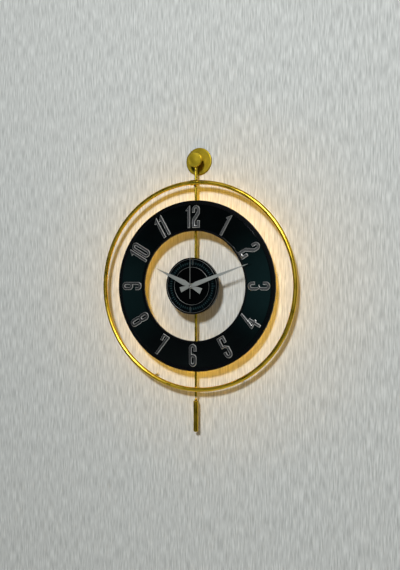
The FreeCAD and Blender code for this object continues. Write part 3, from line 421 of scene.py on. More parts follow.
def one_grain(name, colour, metallic, roughness, grain, dark, light, sheen, bumps, specular=0.5):
    """A material whose tone, roughness and fine bumps all follow one grain."""
    material, tree, shader = new_material(name, colour, metallic, roughness, specular)
    source = grain[0](tree, *grain[1:])
    blend_colours(tree, shader, source, dark, light)
    vary(tree, shader, "Roughness", source, *sheen)
    relief(tree, shader, source, *bumps)
    return material


blackened = one_grain("blackened_screw", (0.04, 0.04, 0.042), 0.9, 0.4, (even_noise, 1500.0, 3.0),
                      (0.025, 0.025, 0.027), (0.075, 0.075, 0.08), (0.28, 0.5), (0.08, 0.0002))
screw_at, screw_half = reach("sleeve_screw")
screw_low, screw_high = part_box("sleeve_screw")
HEAD_R = screw_half.x
HEX_R = 0.0009
sleeve_screw = turned("sleeve_set_screw",
                      [(0, screw_low.z + 0.0012), (HEX_R * 0.9, screw_low.z + 0.0012),
                       (HEX_R, screw_low.z), (HEAD_R - 0.0002, screw_low.z),
                       (HEAD_R, screw_low.z + 0.0003), (HEAD_R, screw_low.z + 0.0026),
                       (0.0010, screw_low.z + 0.0026), (0.0010, screw_high.z), (0, screw_high.z)],
                      centre=(0, screw_at.y, 0), axis="Z", steps=36, edge=0)
fit(sleeve_screw, blackened, "dark_screw", "clock", "sleeve_screw")


# --------------------
# Feet: two short pins brazed to the hoop's rear keep it off the wall, each in a pale silicone pad.
# --------------------
soft_silicone = one_grain("pad_silicone", (0.50, 0.47, 0.38), 0.0, 0.5, (even_noise, 900.0, 4.0),
                          (0.44, 0.41, 0.32), (0.56, 0.53, 0.44), (0.40, 0.60), (0.15, 0.0002), 0.4)
pad_low, pad_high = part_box("foot_pads")
PAD_R = (pad_high.z - pad_low.z) / 2
PIN_R = 0.002
pad_front = pad_low.y
foot_z = (pad_low.z + pad_high.z) / 2
foot_x = pad_high.x - PAD_R
tube_rear = hoop_at.y + TUBE_R
feet, pads = [], []
for side, name in ((-1, "left"), (1, "right")):
    place = (side * foot_x, 0, foot_z)
    pin = turned("foot_pin_" + name,
                 [(0, pad_front + 0.003), (PIN_R, pad_front + 0.003), (PIN_R, tube_rear + 0.0012),
                  (PIN_R + 0.0004, tube_rear + 0.0003), (PIN_R + 0.0014, tube_rear - 0.001),
                  (PIN_R, hoop_at.y + 0.001), (0, hoop_at.y + 0.001)],
                 centre=place, steps=32, edge=0)
    pad = turned("foot_pad_" + name,
                 [(PIN_R, pad_front), (PAD_R - 0.0008, pad_front)]
                 + arc(PAD_R - 0.0012, pad_front + 0.0012, 0.0012, -90, 0)
                 + [(PAD_R, -0.0008), (PAD_R - 0.0005, 0), (0.0012, 0),
                    (0.0009, -0.0006), (0, -0.0006), (0, pad_front + 0.003),
                    (PIN_R, pad_front + 0.003), (PIN_R, pad_front)],
                 centre=place, steps=40, edge=0)
    feet.append(pin)
    pads.append(pad)
for pin in feet:
    fit(pin, gold_turned, "gold", "clock", "foot_pins")
for pad in pads:
    fit(pad, soft_silicone, "pad_rubber", "clock", "foot_pads")


# --------------------
# Dial ring: a satin black moulded ring with a gloss black face ring bonded into its front,
# which leaves a narrow satin border outside and inside the numerals.
# --------------------
ring_at, ring_half = reach("dial_base_ring")
face_at, face_half = reach("dial_face_ring")
RING_BORE_R = 0.130
FACE_BORE_R = 0.1355
ring_front, ring_rear = ring_at.y - ring_half.y, ring_at.y + ring_half.y
face_front = face_at.y - face_half.y
satin_black, tree, shader = new_material("satin_black_ring", (0.006, 0.006, 0.007), 0.0, 0.26, 0.20)
leather = even_noise(tree, 1400.0, 4.0)
haze = even_noise(tree, 18.0, 2.0)
blend_colours(tree, shader, haze, (0.0010, 0.0010, 0.0015), (0.0020, 0.0020, 0.0028))
vary(tree, shader, "Roughness", leather, 0.20, 0.32)
relief(tree, shader, leather, 0.12, 0.0002)
base_ring = turned("dial_ring_base",
                   [(RING_BORE_R, ring_rear), (ring_half.x, ring_rear), (ring_half.x, ring_front),
                    (face_half.x + 0.0004, ring_front), (face_half.x + 0.0004, ring_front + 0.0005),
                    (FACE_BORE_R - 0.0004, ring_front + 0.0005), (FACE_BORE_R - 0.0004, ring_front),
                    (RING_BORE_R, ring_front), (RING_BORE_R, ring_rear)],
                   centre=(0, 0, HUB_Z), steps=224, edge=0.0006)
fit(base_ring, satin_black, "ring_black", "clock", "dial_base_ring")

gloss_black, tree, shader = new_material("gloss_black_face", (0.0035, 0.0065, 0.0075), 0.0,
                                         0.07, 0.34)
wipe = grain_about(tree, 0.0, HUB_Z, 5.0, 60.0)
vary(tree, shader, "Roughness", wipe, 0.05, 0.10)
smudge = even_noise(tree, 22.0, 4.0)
blend_colours(tree, shader, smudge, (0.0008, 0.0012, 0.0015), (0.0014, 0.0024, 0.0026))
wave = even_noise(tree, 9.0, 1.0)
relief(tree, shader, wave, 0.10, 0.002)
face_ring = turned("dial_ring_face",
                   [(FACE_BORE_R, ring_front + 0.0005), (face_half.x, ring_front + 0.0005),
                    (face_half.x, face_front), (FACE_BORE_R, face_front),
                    (FACE_BORE_R, ring_front + 0.0005)],
                   centre=(0, 0, HUB_Z), steps=224, edge=0.00016)
fit(face_ring, gloss_black, "face_gloss", "clock", "dial_face_ring")


# --------------------
# Numerals: twelve raised hours, cut from silver sheet with a wide bevel polished round each
# stroke and a brushed top, painted far darker than the rim as painted shade, and bonded on the
# gloss face.
# --------------------
def merged_copy(node, name):
    """A copy of a CAD node's shape, its loose triangles joined into whole flat faces."""
    piece = bpy.data.objects.new(name, frame["nodes"][node].data.copy())
    piece.data.materials.clear()
    scene.collection.objects.link(piece)
    deselect()
    bpy.context.view_layer.objects.active = piece
    piece.select_set(True)
    bpy.ops.object.mode_set(mode="EDIT")
    bpy.ops.mesh.select_all(action="SELECT")
    bpy.ops.mesh.remove_doubles(threshold=2e-6)
    bpy.ops.mesh.dissolve_limited(angle_limit=math.radians(0.6))
    bpy.ops.mesh.select_all(action="DESELECT")
    bpy.ops.object.mode_set(mode="OBJECT")
    return piece


RIM_W = 0.00105
RIM_RISE = 0.0011
TOP_STEP = 0.00018       # the brushed top lies a little below the rim
numeral_rim = one_grain("numeral_rim", (0.80, 0.80, 0.79), 1.0, 0.34, (even_noise, 700.0, 4.0),
                        (0.64, 0.64, 0.635), (0.84, 0.84, 0.83), (0.42, 0.56), (0.08, 0.0002))
# The top's silver is about a tenth as bright as the rim's: painted shade for the dark room its flat
# face reflects.
numeral_top = one_grain("numeral_top", (0.20, 0.205, 0.21), 1.0, 0.36,
                        (grain_about, 0.0, HUB_Z, 40.0, 2600.0),
                        (0.055, 0.056, 0.059), (0.100, 0.102, 0.105), (0.42, 0.56), (0.12, 0.0002))
for hour in range(1, 13):
    numeral = merged_copy("numeral_%d" % hour, "hour_%d" % hour)
    fit(numeral, numeral_rim, "numeral_silver", "clock", "numeral_%d" % hour)
    numeral.data.materials.append(numeral_top)
    for face in numeral.data.polygons:
        face.select = face.normal.y < -0.9
    bpy.ops.object.mode_set(mode="EDIT")
    bpy.ops.transform.translate(value=(0, RIM_RISE, 0))
    bpy.ops.mesh.inset(thickness=RIM_W, depth=RIM_RISE, use_even_offset=True)
    numeral.active_material_index = 1
    bpy.ops.object.material_slot_assign()
    bpy.ops.mesh.inset(thickness=TOP_STEP, depth=-TOP_STEP, use_even_offset=True)
    bpy.ops.object.mode_set(mode="OBJECT")
    flat_first(numeral, 25)


# --------------------
# Clamps: two black blocks screwed to the ring's rear grip the rod, one outside the light channel
# and one inside it, each with two slotted screws.
# --------------------
def eased(node, name, edge, material, slot, body="clock", segments=2):
    """A CAD node's shape with its edges softened and a finish of its own."""
    piece = merged_copy(node, name)
    finish_mesh(piece, edge, segments)
    fit(piece, material, slot, body, node)
    return piece


eased("ring_clamps", "rod_clamps", 0.0005, satin_black, "ring_black")
eased("clamp_screws", "rod_clamp_screws", 0.00015, blackened, "dark_screw")


# --------------------
# Back light: an anodised aluminium channel rolled to a ring, with a tape of warm white chips on
# its floor under an opal diffuser, which throws light back on the wall. A barrel inlet feeds it.
# --------------------
channel_at, channel_half = reach("led_channel")
opal_at, opal_half = reach("led_diffuser")
CHANNEL_W = 0.018
CHANNEL_WALL = 0.0012
channel_rear = channel_at.y + channel_half.y
inner_r = channel_half.x - CHANNEL_W
anodised = one_grain("anodised_channel", (0.62, 0.63, 0.64), 1.0, 0.4,
                     (grain_about, 0.0, HUB_Z, 6.0, 2200.0),
                     (0.54, 0.55, 0.56), (0.70, 0.71, 0.72), (0.34, 0.50), (0.10, 0.0003))
channel = turned("light_channel",
                 [(inner_r, ring_rear), (channel_half.x, ring_rear), (channel_half.x, channel_rear),
                  (channel_half.x - CHANNEL_WALL, channel_rear),
                  (channel_half.x - CHANNEL_WALL, ring_rear + CHANNEL_WALL),
                  (inner_r + CHANNEL_WALL, ring_rear + CHANNEL_WALL),
                  (inner_r + CHANNEL_WALL, channel_rear), (inner_r, channel_rear),
                  (inner_r, ring_rear)],
                 centre=(0, 0, HUB_Z), steps=192, edge=0.00025)
fit(channel, anodised, "channel_aluminium", "clock", "led_channel")

opal, tree, shader = new_material("opal_diffuser", (0.50, 0.40, 0.22), 0.0, 0.45)
CHIPS = 60
around = polar_position(tree, 0.0, HUB_Z)[0]
beat = add_node(tree, "Math", "MULTIPLY", i0=around, i1=float(CHIPS))
spot = add_node(tree, "Math", "COSINE", i0=beat)
vary(tree, shader, "Emission Strength", spot, 0.8, 1.5, -1.0, 1.0)
shader.inputs["Emission Color"].default_value = (1.0, 0.57, 0.05, 1)
frost = even_noise(tree, 1100.0, 3.0)
vary(tree, shader, "Roughness", frost, 0.38, 0.55)
relief(tree, shader, frost, 0.1, 0.0002)
opal_inner = inner_r + CHANNEL_WALL
opal_front, opal_rear = opal_at.y - opal_half.y, opal_at.y + opal_half.y
diffuser = turned("light_diffuser",
                  [(opal_inner, opal_front), (opal_half.x, opal_front),
                   (opal_half.x, opal_rear - 0.0004), (opal_half.x - 0.0007, opal_rear),
                   (opal_inner + 0.0007, opal_rear),
                   (opal_inner, opal_rear - 0.0004), (opal_inner, opal_front)],
                  centre=(0, 0, HUB_Z), steps=192, edge=0)
fit(diffuser, opal, "diffuser", "clock", "led_diffuser")


def finish_node(node, material, edge=0.0):
    """A CAD node that keeps its own shape, with its edges softened and a finish of its own."""
    piece = frame["nodes"][node]
    weld = piece.modifiers.new("weld", "WELD")
    weld.merge_threshold = 2e-6
    if edge:
        flat = piece.modifiers.new("flat_faces", "DECIMATE")
        flat.decimate_type = "DISSOLVE"
        flat.angle_limit = math.radians(0.6)
        soften = piece.modifiers.new("edges", "BEVEL")
        soften.width = edge
        soften.segments = 1
        soften.limit_method = "ANGLE"
        soften.angle_limit = math.radians(35)
    piece.data.materials.clear()
    piece.data.materials.append(material)


tape_white, tree, shader = new_material("light_tape", (0.82, 0.80, 0.72), 0.0, 0.5)
speck = even_noise(tree, 500.0, 3.0)
blend_colours(tree, shader, speck, (0.74, 0.70, 0.55), (0.88, 0.87, 0.82))
relief(tree, shader, speck, 0.1, 0.0002)
finish_node("led_strip", tape_white, 0.0001)

moulded_black, tree, shader = new_material("moulded_black", (0.022, 0.022, 0.023), 0.0, 0.55, 0.4)
spark = even_noise(tree, 1500.0, 5.0)
patch = even_noise(tree, 60.0, 2.0)
blend_colours(tree, shader, patch, (0.018, 0.018, 0.019), (0.030, 0.030, 0.032))
vary(tree, shader, "Roughness", spark, 0.46, 0.68)
relief(tree, shader, spark, 0.35, 0.0002)
eased("dc_inlet", "barrel_inlet", 0.0005, moulded_black, "case_plastic", segments=3)


# --------------------
# Centre dial: a shallow spun pan in gloss black with a printed minute track, two thin silver
# rings and bars at twelve and six, held on the movement's bush by a brass nut.
# --------------------
dial_at, dial_half = reach("centre_dial")
bezel_at, bezel_half = reach("centre_bezel")
track_at, track_half = reach("track_ring")
dial_front = dial_at.y - dial_half.y
BUSH_R = 0.004
PAN_T = 0.002
RIM_T = 0.0015
LIP_ROUND = 0.0009
dial_black, tree, shader = new_material("dial_print", (0.003, 0.003, 0.0035), 0.0, 0.14, 0.12)
around, radius, along = polar_position(tree, 0.0, HUB_Z)


def within(tree, value, low, high):
    """One where a value lies between two limits, nought elsewhere."""
    above = add_node(tree, "Math", "GREATER_THAN", i0=value, i1=low)
    below = add_node(tree, "Math", "LESS_THAN", i0=value, i1=high)
    return add_node(tree, "Math", "MULTIPLY", i0=above, i1=below)


def ticks(tree, around, radius, count, width, low, high):
    """Radial marks: this many round the dial, this wide as an angle share, between two radii."""
    share = add_node(tree, "Math", "MULTIPLY", i0=around, i1=count / TURN)
    offset = add_node(tree, "Math", "ADD", i0=share, i1=0.5 + count)
    part = add_node(tree, "Math", "FRACT", i0=offset)
    stripe = within(tree, part, 0.5 - width / 2, 0.5 + width / 2)
    return add_node(tree, "Math", "MULTIPLY", i0=stripe, i1=within(tree, radius, low, high))


track_r, bezel_r = track_half.x, bezel_half.x
mottle = even_noise(tree, 160.0, 3.0)
zone = within(tree, radius, track_r, bezel_r)
zone = add_node(tree, "Math", "MULTIPLY", i0=zone, i1=add_node(
    tree, "MapRange", Value=mottle, From_Min=0.35, From_Max=0.65, To_Min=0.15, To_Max=1.0))
ink = layer(tree, zone, (0.0008, 0.0008, 0.0010), (0.0008, 0.0023, 0.0032))
minutes = ticks(tree, around, radius, 60, 0.34, track_r + 0.0062, track_r + 0.0110)
fives = ticks(tree, around, radius, 12, 0.07, track_r + 0.0122, track_r + 0.0160)
ink = layer(tree, minutes, ink, (0.018, 0.036, 0.040))
ink = layer(tree, fives, ink, (0.010, 0.020, 0.026))
printed = add_node(tree, "Math", "LESS_THAN", i0=along, i1=dial_front + 0.0004)
ink = layer(tree, printed, (0.0008, 0.0008, 0.0010), ink)
tree.links.new(ink, shader.inputs["Base Color"])
swirl = grain_about(tree, 0.0, HUB_Z, 3.0, 900.0)
vary(tree, shader, "Roughness", swirl, 0.10, 0.20)
relief(tree, shader, swirl, 0.05, 0.0002)
pan_rear = dial_at.y + dial_half.y
pan = turned("dial_pan",
             [(BUSH_R, dial_front)]
             + arc(dial_half.x - LIP_ROUND, dial_front + LIP_ROUND, LIP_ROUND, -90, 0)
             + [(dial_half.x, pan_rear), (dial_half.x - RIM_T, pan_rear),
                (dial_half.x - RIM_T, dial_front + PAN_T + 0.0008),
                (dial_half.x - RIM_T - 0.0008, dial_front + PAN_T), (BUSH_R, dial_front + PAN_T),
                (BUSH_R, dial_front)],
             centre=(0, 0, HUB_Z), steps=160, edge=0)
fit(pan, dial_black, "disc_black", "clock", "centre_dial")

bright_trim = one_grain("bright_trim", (0.55, 0.56, 0.57), 1.0, 0.24,
                        (grain_about, 0.0, HUB_Z, 5.0, 3200.0),
                        (0.19, 0.197, 0.195), (0.27, 0.278, 0.275), (0.42, 0.54), (0.06, 0.0002))
TRIMS = (("centre_bezel", "dial_outer_ring", bezel_at, bezel_half, 0.0008),
         ("track_ring", "dial_inner_ring", track_at, track_half, 0.0009))
for node, name, middle, half, width in TRIMS:
    front, rear = middle.y - half.y, middle.y + half.y
    inner, outer = half.x - width, half.x
    trim = turned(name, [(inner, rear), (outer, rear), (outer, rear - 0.0002),
                         (outer - width * 0.22, front + 0.0001), (outer - width * 0.5, front),
                         (inner + width * 0.22, front + 0.0001), (inner, rear - 0.0002),
                         (inner, rear)],
                  centre=(0, 0, HUB_Z), steps=144, edge=0)
    fit(trim, bright_trim, "silver", "clock", node)
smoked_trim = one_grain("smoked_trim", (0.10, 0.10, 0.10), 1.0, 0.4, (grain_along, 30.0, 2600.0),
                        (0.07, 0.073, 0.072), (0.11, 0.114, 0.112), (0.36, 0.48), (0.05, 0.0001))
eased("centre_markers", "dial_bars", 0.0001, smoked_trim, "silver")

turned_brass = one_grain("turned_brass", (0.66, 0.50, 0.20), 1.0, 0.3,
                         (grain_about, 0.0, HUB_Z, 2.0, 3000.0),
                         (0.58, 0.42, 0.15), (0.76, 0.60, 0.28), (0.24, 0.38), (0.1, 0.0002))
eased("fixing_nut", "dial_nut", 0.00035, turned_brass, "nut_brass")


# --------------------
# Bracket: sheet steel folded over the movement, with a welded socket for the rod's foot, and
# the pendulum's pivot post on a small foot below. All powder coated black.
# --------------------
powder_coat, tree, shader = new_material("powder_coat", (0.02, 0.02, 0.021), 0.0, 0.48, 0.45)
peel = even_noise(tree, 620.0, 3.0)
cloud = even_noise(tree, 45.0, 2.0)
blend_colours(tree, shader, cloud, (0.016, 0.016, 0.017), (0.028, 0.028, 0.030))
vary(tree, shader, "Roughness", peel, 0.40, 0.58)
relief(tree, shader, peel, 0.30, 0.0003)
eased("centre_bracket", "movement_bracket", 0.0004, powder_coat, "bracket_black")
eased("pendulum_bracket", "pendulum_pivot_post", 0.0004, powder_coat, "bracket_black")


# --------------------
# Movement: a moulded black case with a snap-on rear cover. Acetal wheels turn between its front,
# a bridge and the cover; a stepping motor of iron yoke and wound coil drives them.
# --------------------
eased("movement_case", "movement_body", 0.0004, moulded_black, "case_plastic")
eased("rear_cover", "movement_cover", 0.0004, moulded_black, "case_plastic")

acetal = one_grain("natural_acetal", (0.80, 0.79, 0.73), 0.0, 0.42, (even_noise, 300.0, 3.0),
                   (0.74, 0.73, 0.66), (0.86, 0.85, 0.80), (0.36, 0.5), (0.08, 0.0002))
for wheel in ("train_bridge", "rotor", "intermediate_wheel", "second_wheel", "third_wheel",
              "centre_wheel", "minute_wheel", "hour_wheel"):
    finish_node(wheel, acetal, 0.00004)
finish_node("minute_pipe", turned_brass, 0.00004)
eased("set_knob", "setting_knob", 0.00012, acetal, "gear_plastic", "set_knob")

stamped_iron, tree, shader = new_material("stamped_iron", (0.42, 0.42, 0.43), 1.0, 0.45)
rolled = grain_along(tree, 60.0, 1500.0, turn=(0, math.radians(90), 0))
blend_colours(tree, shader, rolled, (0.34, 0.34, 0.35), (0.52, 0.52, 0.53))
relief(tree, shader, rolled, 0.1, 0.0002)
finish_node("stator", stamped_iron, 0.00005)
wound_copper, tree, shader = new_material("wound_copper", (0.55, 0.22, 0.07), 0.7, 0.35)
WIRE = 0.00012
place = add_node(tree, "SeparateXYZ", i0=object_position(tree)).node
winding = add_node(tree, "Math", "MULTIPLY", i0=place.outputs["X"], i1=TURN / WIRE)
strand = add_node(tree, "Math", "SINE", i0=winding)
blend_colours(tree, shader, strand, (0.40, 0.14, 0.04), (0.66, 0.28, 0.10), -1.0, 1.0)
relief(tree, shader, strand, 0.4, 0.0001)
finish_node("coil", wound_copper, 0.0001)
printed_board, tree, shader = new_material("printed_board", (0.02, 0.16, 0.07), 0.0, 0.3)
traces = add_node(tree, "TexVoronoi", Vector=object_position(tree), Scale=420.0)
blend_colours(tree, shader, traces, (0.06, 0.30, 0.12), (0.015, 0.12, 0.05), 0.05, 0.25)
relief(tree, shader, traces, 0.2, 0.0001)
finish_node("circuit_board", printed_board, 0.00008)


# --------------------
# Battery: one AA cell across the bay, a crimped steel can in a plain printed wrap. Two nickel
# plated contacts hold it: a flat plate at its button, a plate with a conical spring at its base.
# --------------------
cell_at, cell_half = reach("battery")
cell_low, cell_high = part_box("battery")
CELL_R = cell_half.z
NUB_L, NUB_R = 0.001, 0.0027
shoulder = cell_high.x - NUB_L
wrap, tree, shader = new_material("cell_wrap", (0.06, 0.075, 0.10), 0.3, 0.28)
place = add_node(tree, "SeparateXYZ", i0=object_position(tree)).node
band = within(tree, place.outputs["X"], shoulder - 0.0125, shoulder - 0.0012)
steel_low = add_node(tree, "Math", "LESS_THAN", i0=place.outputs["X"], i1=cell_low.x + 0.0008)
steel_high = add_node(tree, "Math", "GREATER_THAN", i0=place.outputs["X"], i1=shoulder - 0.0004)
steel = add_node(tree, "Math", "ADD", i0=steel_low, i1=steel_high)
coat = layer(tree, band, (0.035, 0.045, 0.065), (0.42, 0.30, 0.11))
coat = layer(tree, steel, coat, (0.62, 0.62, 0.61))
tree.links.new(coat, shader.inputs["Base Color"])
vary(tree, shader, "Metallic", steel, 0.25, 1.0, 0.0, 1.0)
rub = even_noise(tree, 260.0, 3.0)
vary(tree, shader, "Roughness", rub, 0.22, 0.38)
relief(tree, shader, rub, 0.06, 0.0002)
cell = turned("battery_cell",
              [(0, cell_low.x + 0.0002), (0.0048, cell_low.x + 0.0002), (0.0052, cell_low.x),
               (CELL_R - 0.0008, cell_low.x)]
              + arc(CELL_R - 0.0008, cell_low.x + 0.0008, 0.0008, -90, 0, 3)
              + [(CELL_R, shoulder - 0.0030), (CELL_R - 0.00035, shoulder - 0.0024),
                 (CELL_R - 0.00035, shoulder - 0.0018), (CELL_R, shoulder - 0.0012),
                 (CELL_R - 0.0002, shoulder - 0.0003), (CELL_R - 0.0010, shoulder),
                 (0.0042, shoulder), (0.0038, shoulder - 0.0003),
                 (NUB_R + 0.0002, shoulder - 0.0003),
                 (NUB_R, shoulder), (NUB_R, cell_high.x - 0.0003), (NUB_R - 0.0003, cell_high.x),
                 (0, cell_high.x)],
              centre=cell_at, axis="X", steps=64, edge=0)
fit(cell, wrap, "battery_wrap", "battery", "battery")

nickel = one_grain("nickel_plate", (0.62, 0.60, 0.56), 1.0, 0.25, (grain_along, 40.0, 1800.0),
                   (0.54, 0.52, 0.48), (0.72, 0.70, 0.66), (0.2, 0.34), (0.08, 0.0002))
contact_low, contact_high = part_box("battery_contacts")
CONTACT_T = 0.0006
half_h = (contact_high.z - contact_low.z) / 2
for name, x, push in (("contact_plate_button", contact_high.x - CONTACT_T / 2, -1),
                      ("contact_plate_base", contact_low.x + CONTACT_T / 2, 1)):
    deselect()
    bpy.ops.mesh.primitive_cube_add(size=1, location=(x, cell_at.y, cell_at.z),
                                    scale=(CONTACT_T, 2 * half_h, 2 * half_h))
    contact = bpy.context.object
    contact.name = name
    bpy.ops.object.transform_apply(location=True, rotation=True, scale=True)
    for face in contact.data.polygons:
        face.select = face.normal.x * push > 0.9
    bpy.ops.object.mode_set(mode="EDIT")
    bpy.ops.mesh.inset(thickness=half_h * 0.55)
    bpy.ops.mesh.inset(thickness=half_h * 0.12, depth=0.0002)
    bpy.ops.object.mode_set(mode="OBJECT")
    finish_mesh(contact, 0.0001)
    fit(contact, nickel, "contact_nickel", "clock", "battery_contacts")

SPRING_TURNS = 5
WIRE_R = 0.00035
spring_start = contact_low.x + CONTACT_T
spring_l = cell_low.x - spring_start
deselect()
bpy.ops.mesh.primitive_circle_add(vertices=10, radius=WIRE_R, rotation=(math.radians(90), 0, 0),
                                  location=(spring_start + WIRE_R, cell_at.y, cell_at.z + 0.0033))
spring = bpy.context.object
spring.name = "contact_spring"
scene.cursor.location = (spring_start, cell_at.y, cell_at.z)
bpy.ops.object.origin_set(type="ORIGIN_CURSOR")
scene.cursor.location = (0, 0, 0)
bpy.ops.object.transform_apply(location=False, rotation=True, scale=True)
coiling = spring.modifiers.new("coils", "SCREW")
coiling.axis = "X"
coiling.angle = TURN
coiling.iterations = SPRING_TURNS
coiling.steps = coiling.render_steps = 20
coiling.screw_offset = (spring_l - 2 * WIRE_R) / SPRING_TURNS
bpy.ops.object.modifier_apply(modifier=coiling.name)
narrow = spring.modifiers.new("taper", "SIMPLE_DEFORM")
narrow.deform_method = "TAPER"
narrow.deform_axis = "X"
narrow.factor = -0.45
bpy.ops.object.modifier_apply(modifier=narrow.name)
bpy.ops.object.mode_set(mode="EDIT")
bpy.ops.mesh.select_all(action="SELECT")
bpy.ops.mesh.region_to_loop()
bpy.ops.mesh.edge_face_add()
bpy.ops.object.mode_set(mode="OBJECT")
finish_mesh(spring)
fit(spring, nickel, "contact_nickel", "clock", "battery_contacts")


# --------------------
# Hands: blanked from aluminium and brushed along their length. The hour and minute hands push
# on their pipes; the second hand's domed cap closes the middle.
# --------------------
HAND_TURNS = (("hour_hand", "hand_of_hours", "hours", 295.0),
              ("minute_hand", "hand_of_minutes", "minutes", 70.5),
              ("second_hand", "hand_of_seconds", "seconds", 0.0))
for node, name, body, clockwise in HAND_TURNS:
    tone = 0.74 if node == "second_hand" else 1.0
    brushed_silver, tree, shader = new_material("brushed_" + node, (0.62, 0.625, 0.62), 1.0, 0.42)
    lines = grain_along(tree, 20.0, 2600.0, (0, math.radians(-clockwise), 0), (0, 0, HUB_Z))
    blend_colours(tree, shader, lines, (0.285 * tone, 0.298 * tone, 0.287 * tone),
                  (0.385 * tone, 0.40 * tone, 0.388 * tone))
    vary(tree, shader, "Roughness", lines, 0.48, 0.60)
    relief(tree, shader, lines, 0.04, 0.0001)
    hand = eased(node, name, 0.00012, brushed_silver, "hand_silver", body)
polished_cap, tree, shader = new_material("polished_cap", (0.60, 0.61, 0.61), 1.0, 0.12)
buffed = grain_about(tree, 0.0, HUB_Z, 4.0, 2400.0)
vary(tree, shader, "Roughness", buffed, 0.16, 0.26)
relief(tree, shader, buffed, 0.04, 0.0001)
hand.data.materials.append(polished_cap)
hand_front = max(corner.co.y for corner in hand.data.vertices) - 0.0006
for face in hand.data.polygons:
    if face.center.y < hand_front:
        face.material_index = 1


# --------------------
# Pendulum: a gold plated rod with an eye that hangs on the bracket's post, a threaded neck, and
# a solid turned bob screwed up against a small rounded lock nut.
# --------------------
joint_names = [joint["name"] for joint in frame["joints"]]
swing_at = frame["joints"][joint_names.index("pendulum_swing")]["pos_m"]
hang_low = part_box("pendulum_rod")[0]
hang_half = reach("pendulum_rod")[1]
bob_low, bob_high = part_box("pendulum_bob")
bob_at, bob_half = reach("pendulum_bob")
nut_low, nut_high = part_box("rating_nut")
nut_at, nut_half = reach("rating_nut")
EYE_R = hang_half.x
EYE_T = 0.0032
HANG_R = hang_half.y
NECK_R = 0.0017
NECK_L = 0.0105
PIVOT_BORE_R = 0.00157
PITCH = 0.0007
hang_y, pivot_z = swing_at[1], swing_at[2]
ring_of_eye = turned("pendulum_eye",
                     [(PIVOT_BORE_R, hang_y - EYE_T / 2), (EYE_R - 0.0004, hang_y - EYE_T / 2),
                      (EYE_R, hang_y - EYE_T / 2 + 0.0004), (EYE_R, hang_y + EYE_T / 2 - 0.0004),
                      (EYE_R - 0.0004, hang_y + EYE_T / 2), (PIVOT_BORE_R, hang_y + EYE_T / 2),
                      (PIVOT_BORE_R, hang_y - EYE_T / 2)],
                     centre=(0, 0, pivot_z), steps=48, edge=0)
fit(ring_of_eye, gold_turned, "gold", "pendulum", "pendulum_rod")
neck_top = bob_high.z + NECK_L
neck_low = hang_low.z
grooves = []
step = neck_low + PITCH
while step < neck_top - 2 * PITCH:
    grooves += [(NECK_R, step), (NECK_R - 0.00028, step + PITCH / 2)]
    step += PITCH
hanging = turned("pendulum_stem",
                 [(0, neck_low), (NECK_R - 0.0003, neck_low), (NECK_R, neck_low + 0.0003)] + grooves
                 + [(NECK_R, neck_top - 0.0003), (HANG_R - 0.0004, neck_top - 0.0001),
                    (HANG_R, neck_top + 0.0004), (HANG_R, pivot_z - EYE_R + 0.0005),
                    (0, pivot_z - EYE_R + 0.0005)],
                 centre=(0, hang_y, 0), axis="Z", steps=32, edge=0)
fit(hanging, gold_drawn, "gold", "pendulum", "pendulum_rod")

nut_r = nut_half.x
NUT_ROUND = 0.0014
round_nut = turned("pendulum_lock_nut",
                   [(NECK_R, nut_low.z)]
                   + arc(nut_r - NUT_ROUND, nut_low.z + NUT_ROUND, NUT_ROUND, -90, 0, 4)
                   + [(nut_r, nut_at.z - 0.0002), (nut_r - 0.0002, nut_at.z),
                      (nut_r, nut_at.z + 0.0002)]
                   + arc(nut_r - NUT_ROUND, nut_high.z - NUT_ROUND, NUT_ROUND, 0, 90, 4)
                   + [(NECK_R, nut_high.z), (NECK_R, nut_low.z)],
                   centre=(0, nut_at.y, 0), axis="Z", steps=48, edge=0)
fit(round_nut, gold_drawn, "gold", "pendulum", "rating_nut")

BOB_CHAMFER = 0.0013
BOB_SOCKET = 0.012
bob_r = bob_half.x
# depth 0.84 paints the bob a little darker than the cap: painted shade.
gold_bob = satin_gold("bob", (grain_along, 26.0, 1800.0), 0.24, 0.34, 0.84, 0.06, 0.93)
bob = turned("pendulum_bob_turned",
             [(0, bob_low.z + 0.0009), (0.0009, bob_low.z), (bob_r - BOB_CHAMFER, bob_low.z),
              (bob_r, bob_low.z + BOB_CHAMFER), (bob_r, bob_high.z - 0.0048),
              (bob_r - 0.0003, bob_high.z - 0.0045), (bob_r, bob_high.z - 0.0042),
              (bob_r, bob_high.z - BOB_CHAMFER), (bob_r - BOB_CHAMFER, bob_high.z),
              (NECK_R, bob_high.z), (NECK_R, bob_high.z - BOB_SOCKET),
              (0, bob_high.z - BOB_SOCKET)],
             centre=(0, bob_at.y, 0), axis="Z", steps=64, edge=0.0001)
fit(bob, gold_bob, "gold", "pendulum", "pendulum_bob")


# --------------------
# Light: a soft key lamp high in front, a soft fill behind, and two circles of small warm lamps
# behind the dial ring that carry the back light's glow over the wall. The air is dim, with soft
# patches for the gloss black to reflect, and plain grey where the camera looks past the wall.
# --------------------
def area_lamp(name, place, size, watts, colour):
    """A soft square lamp aimed at the hands' axis."""
    bpy.ops.object.light_add(type="AREA", location=place)
    lamp = bpy.context.object
    lamp.name = name
    lamp.data.size = size
    lamp.data.energy = watts
    lamp.data.color = colour
    aim = Vector((0, 0, HUB_Z)) - Vector(place)
    lamp.rotation_euler = aim.to_track_quat("-Z", "Y").to_euler()


area_lamp("key_lamp", (0.44, -3.38, 1.39), 0.50, 122, (0.985, 1.0, 0.985))

OUTER_LAMPS, OUTER_R = 24, 0.196
INNER_LAMPS, INNER_R = 18, 0.150
GLOW_DEPTH = 0.0300      # in front of the wall


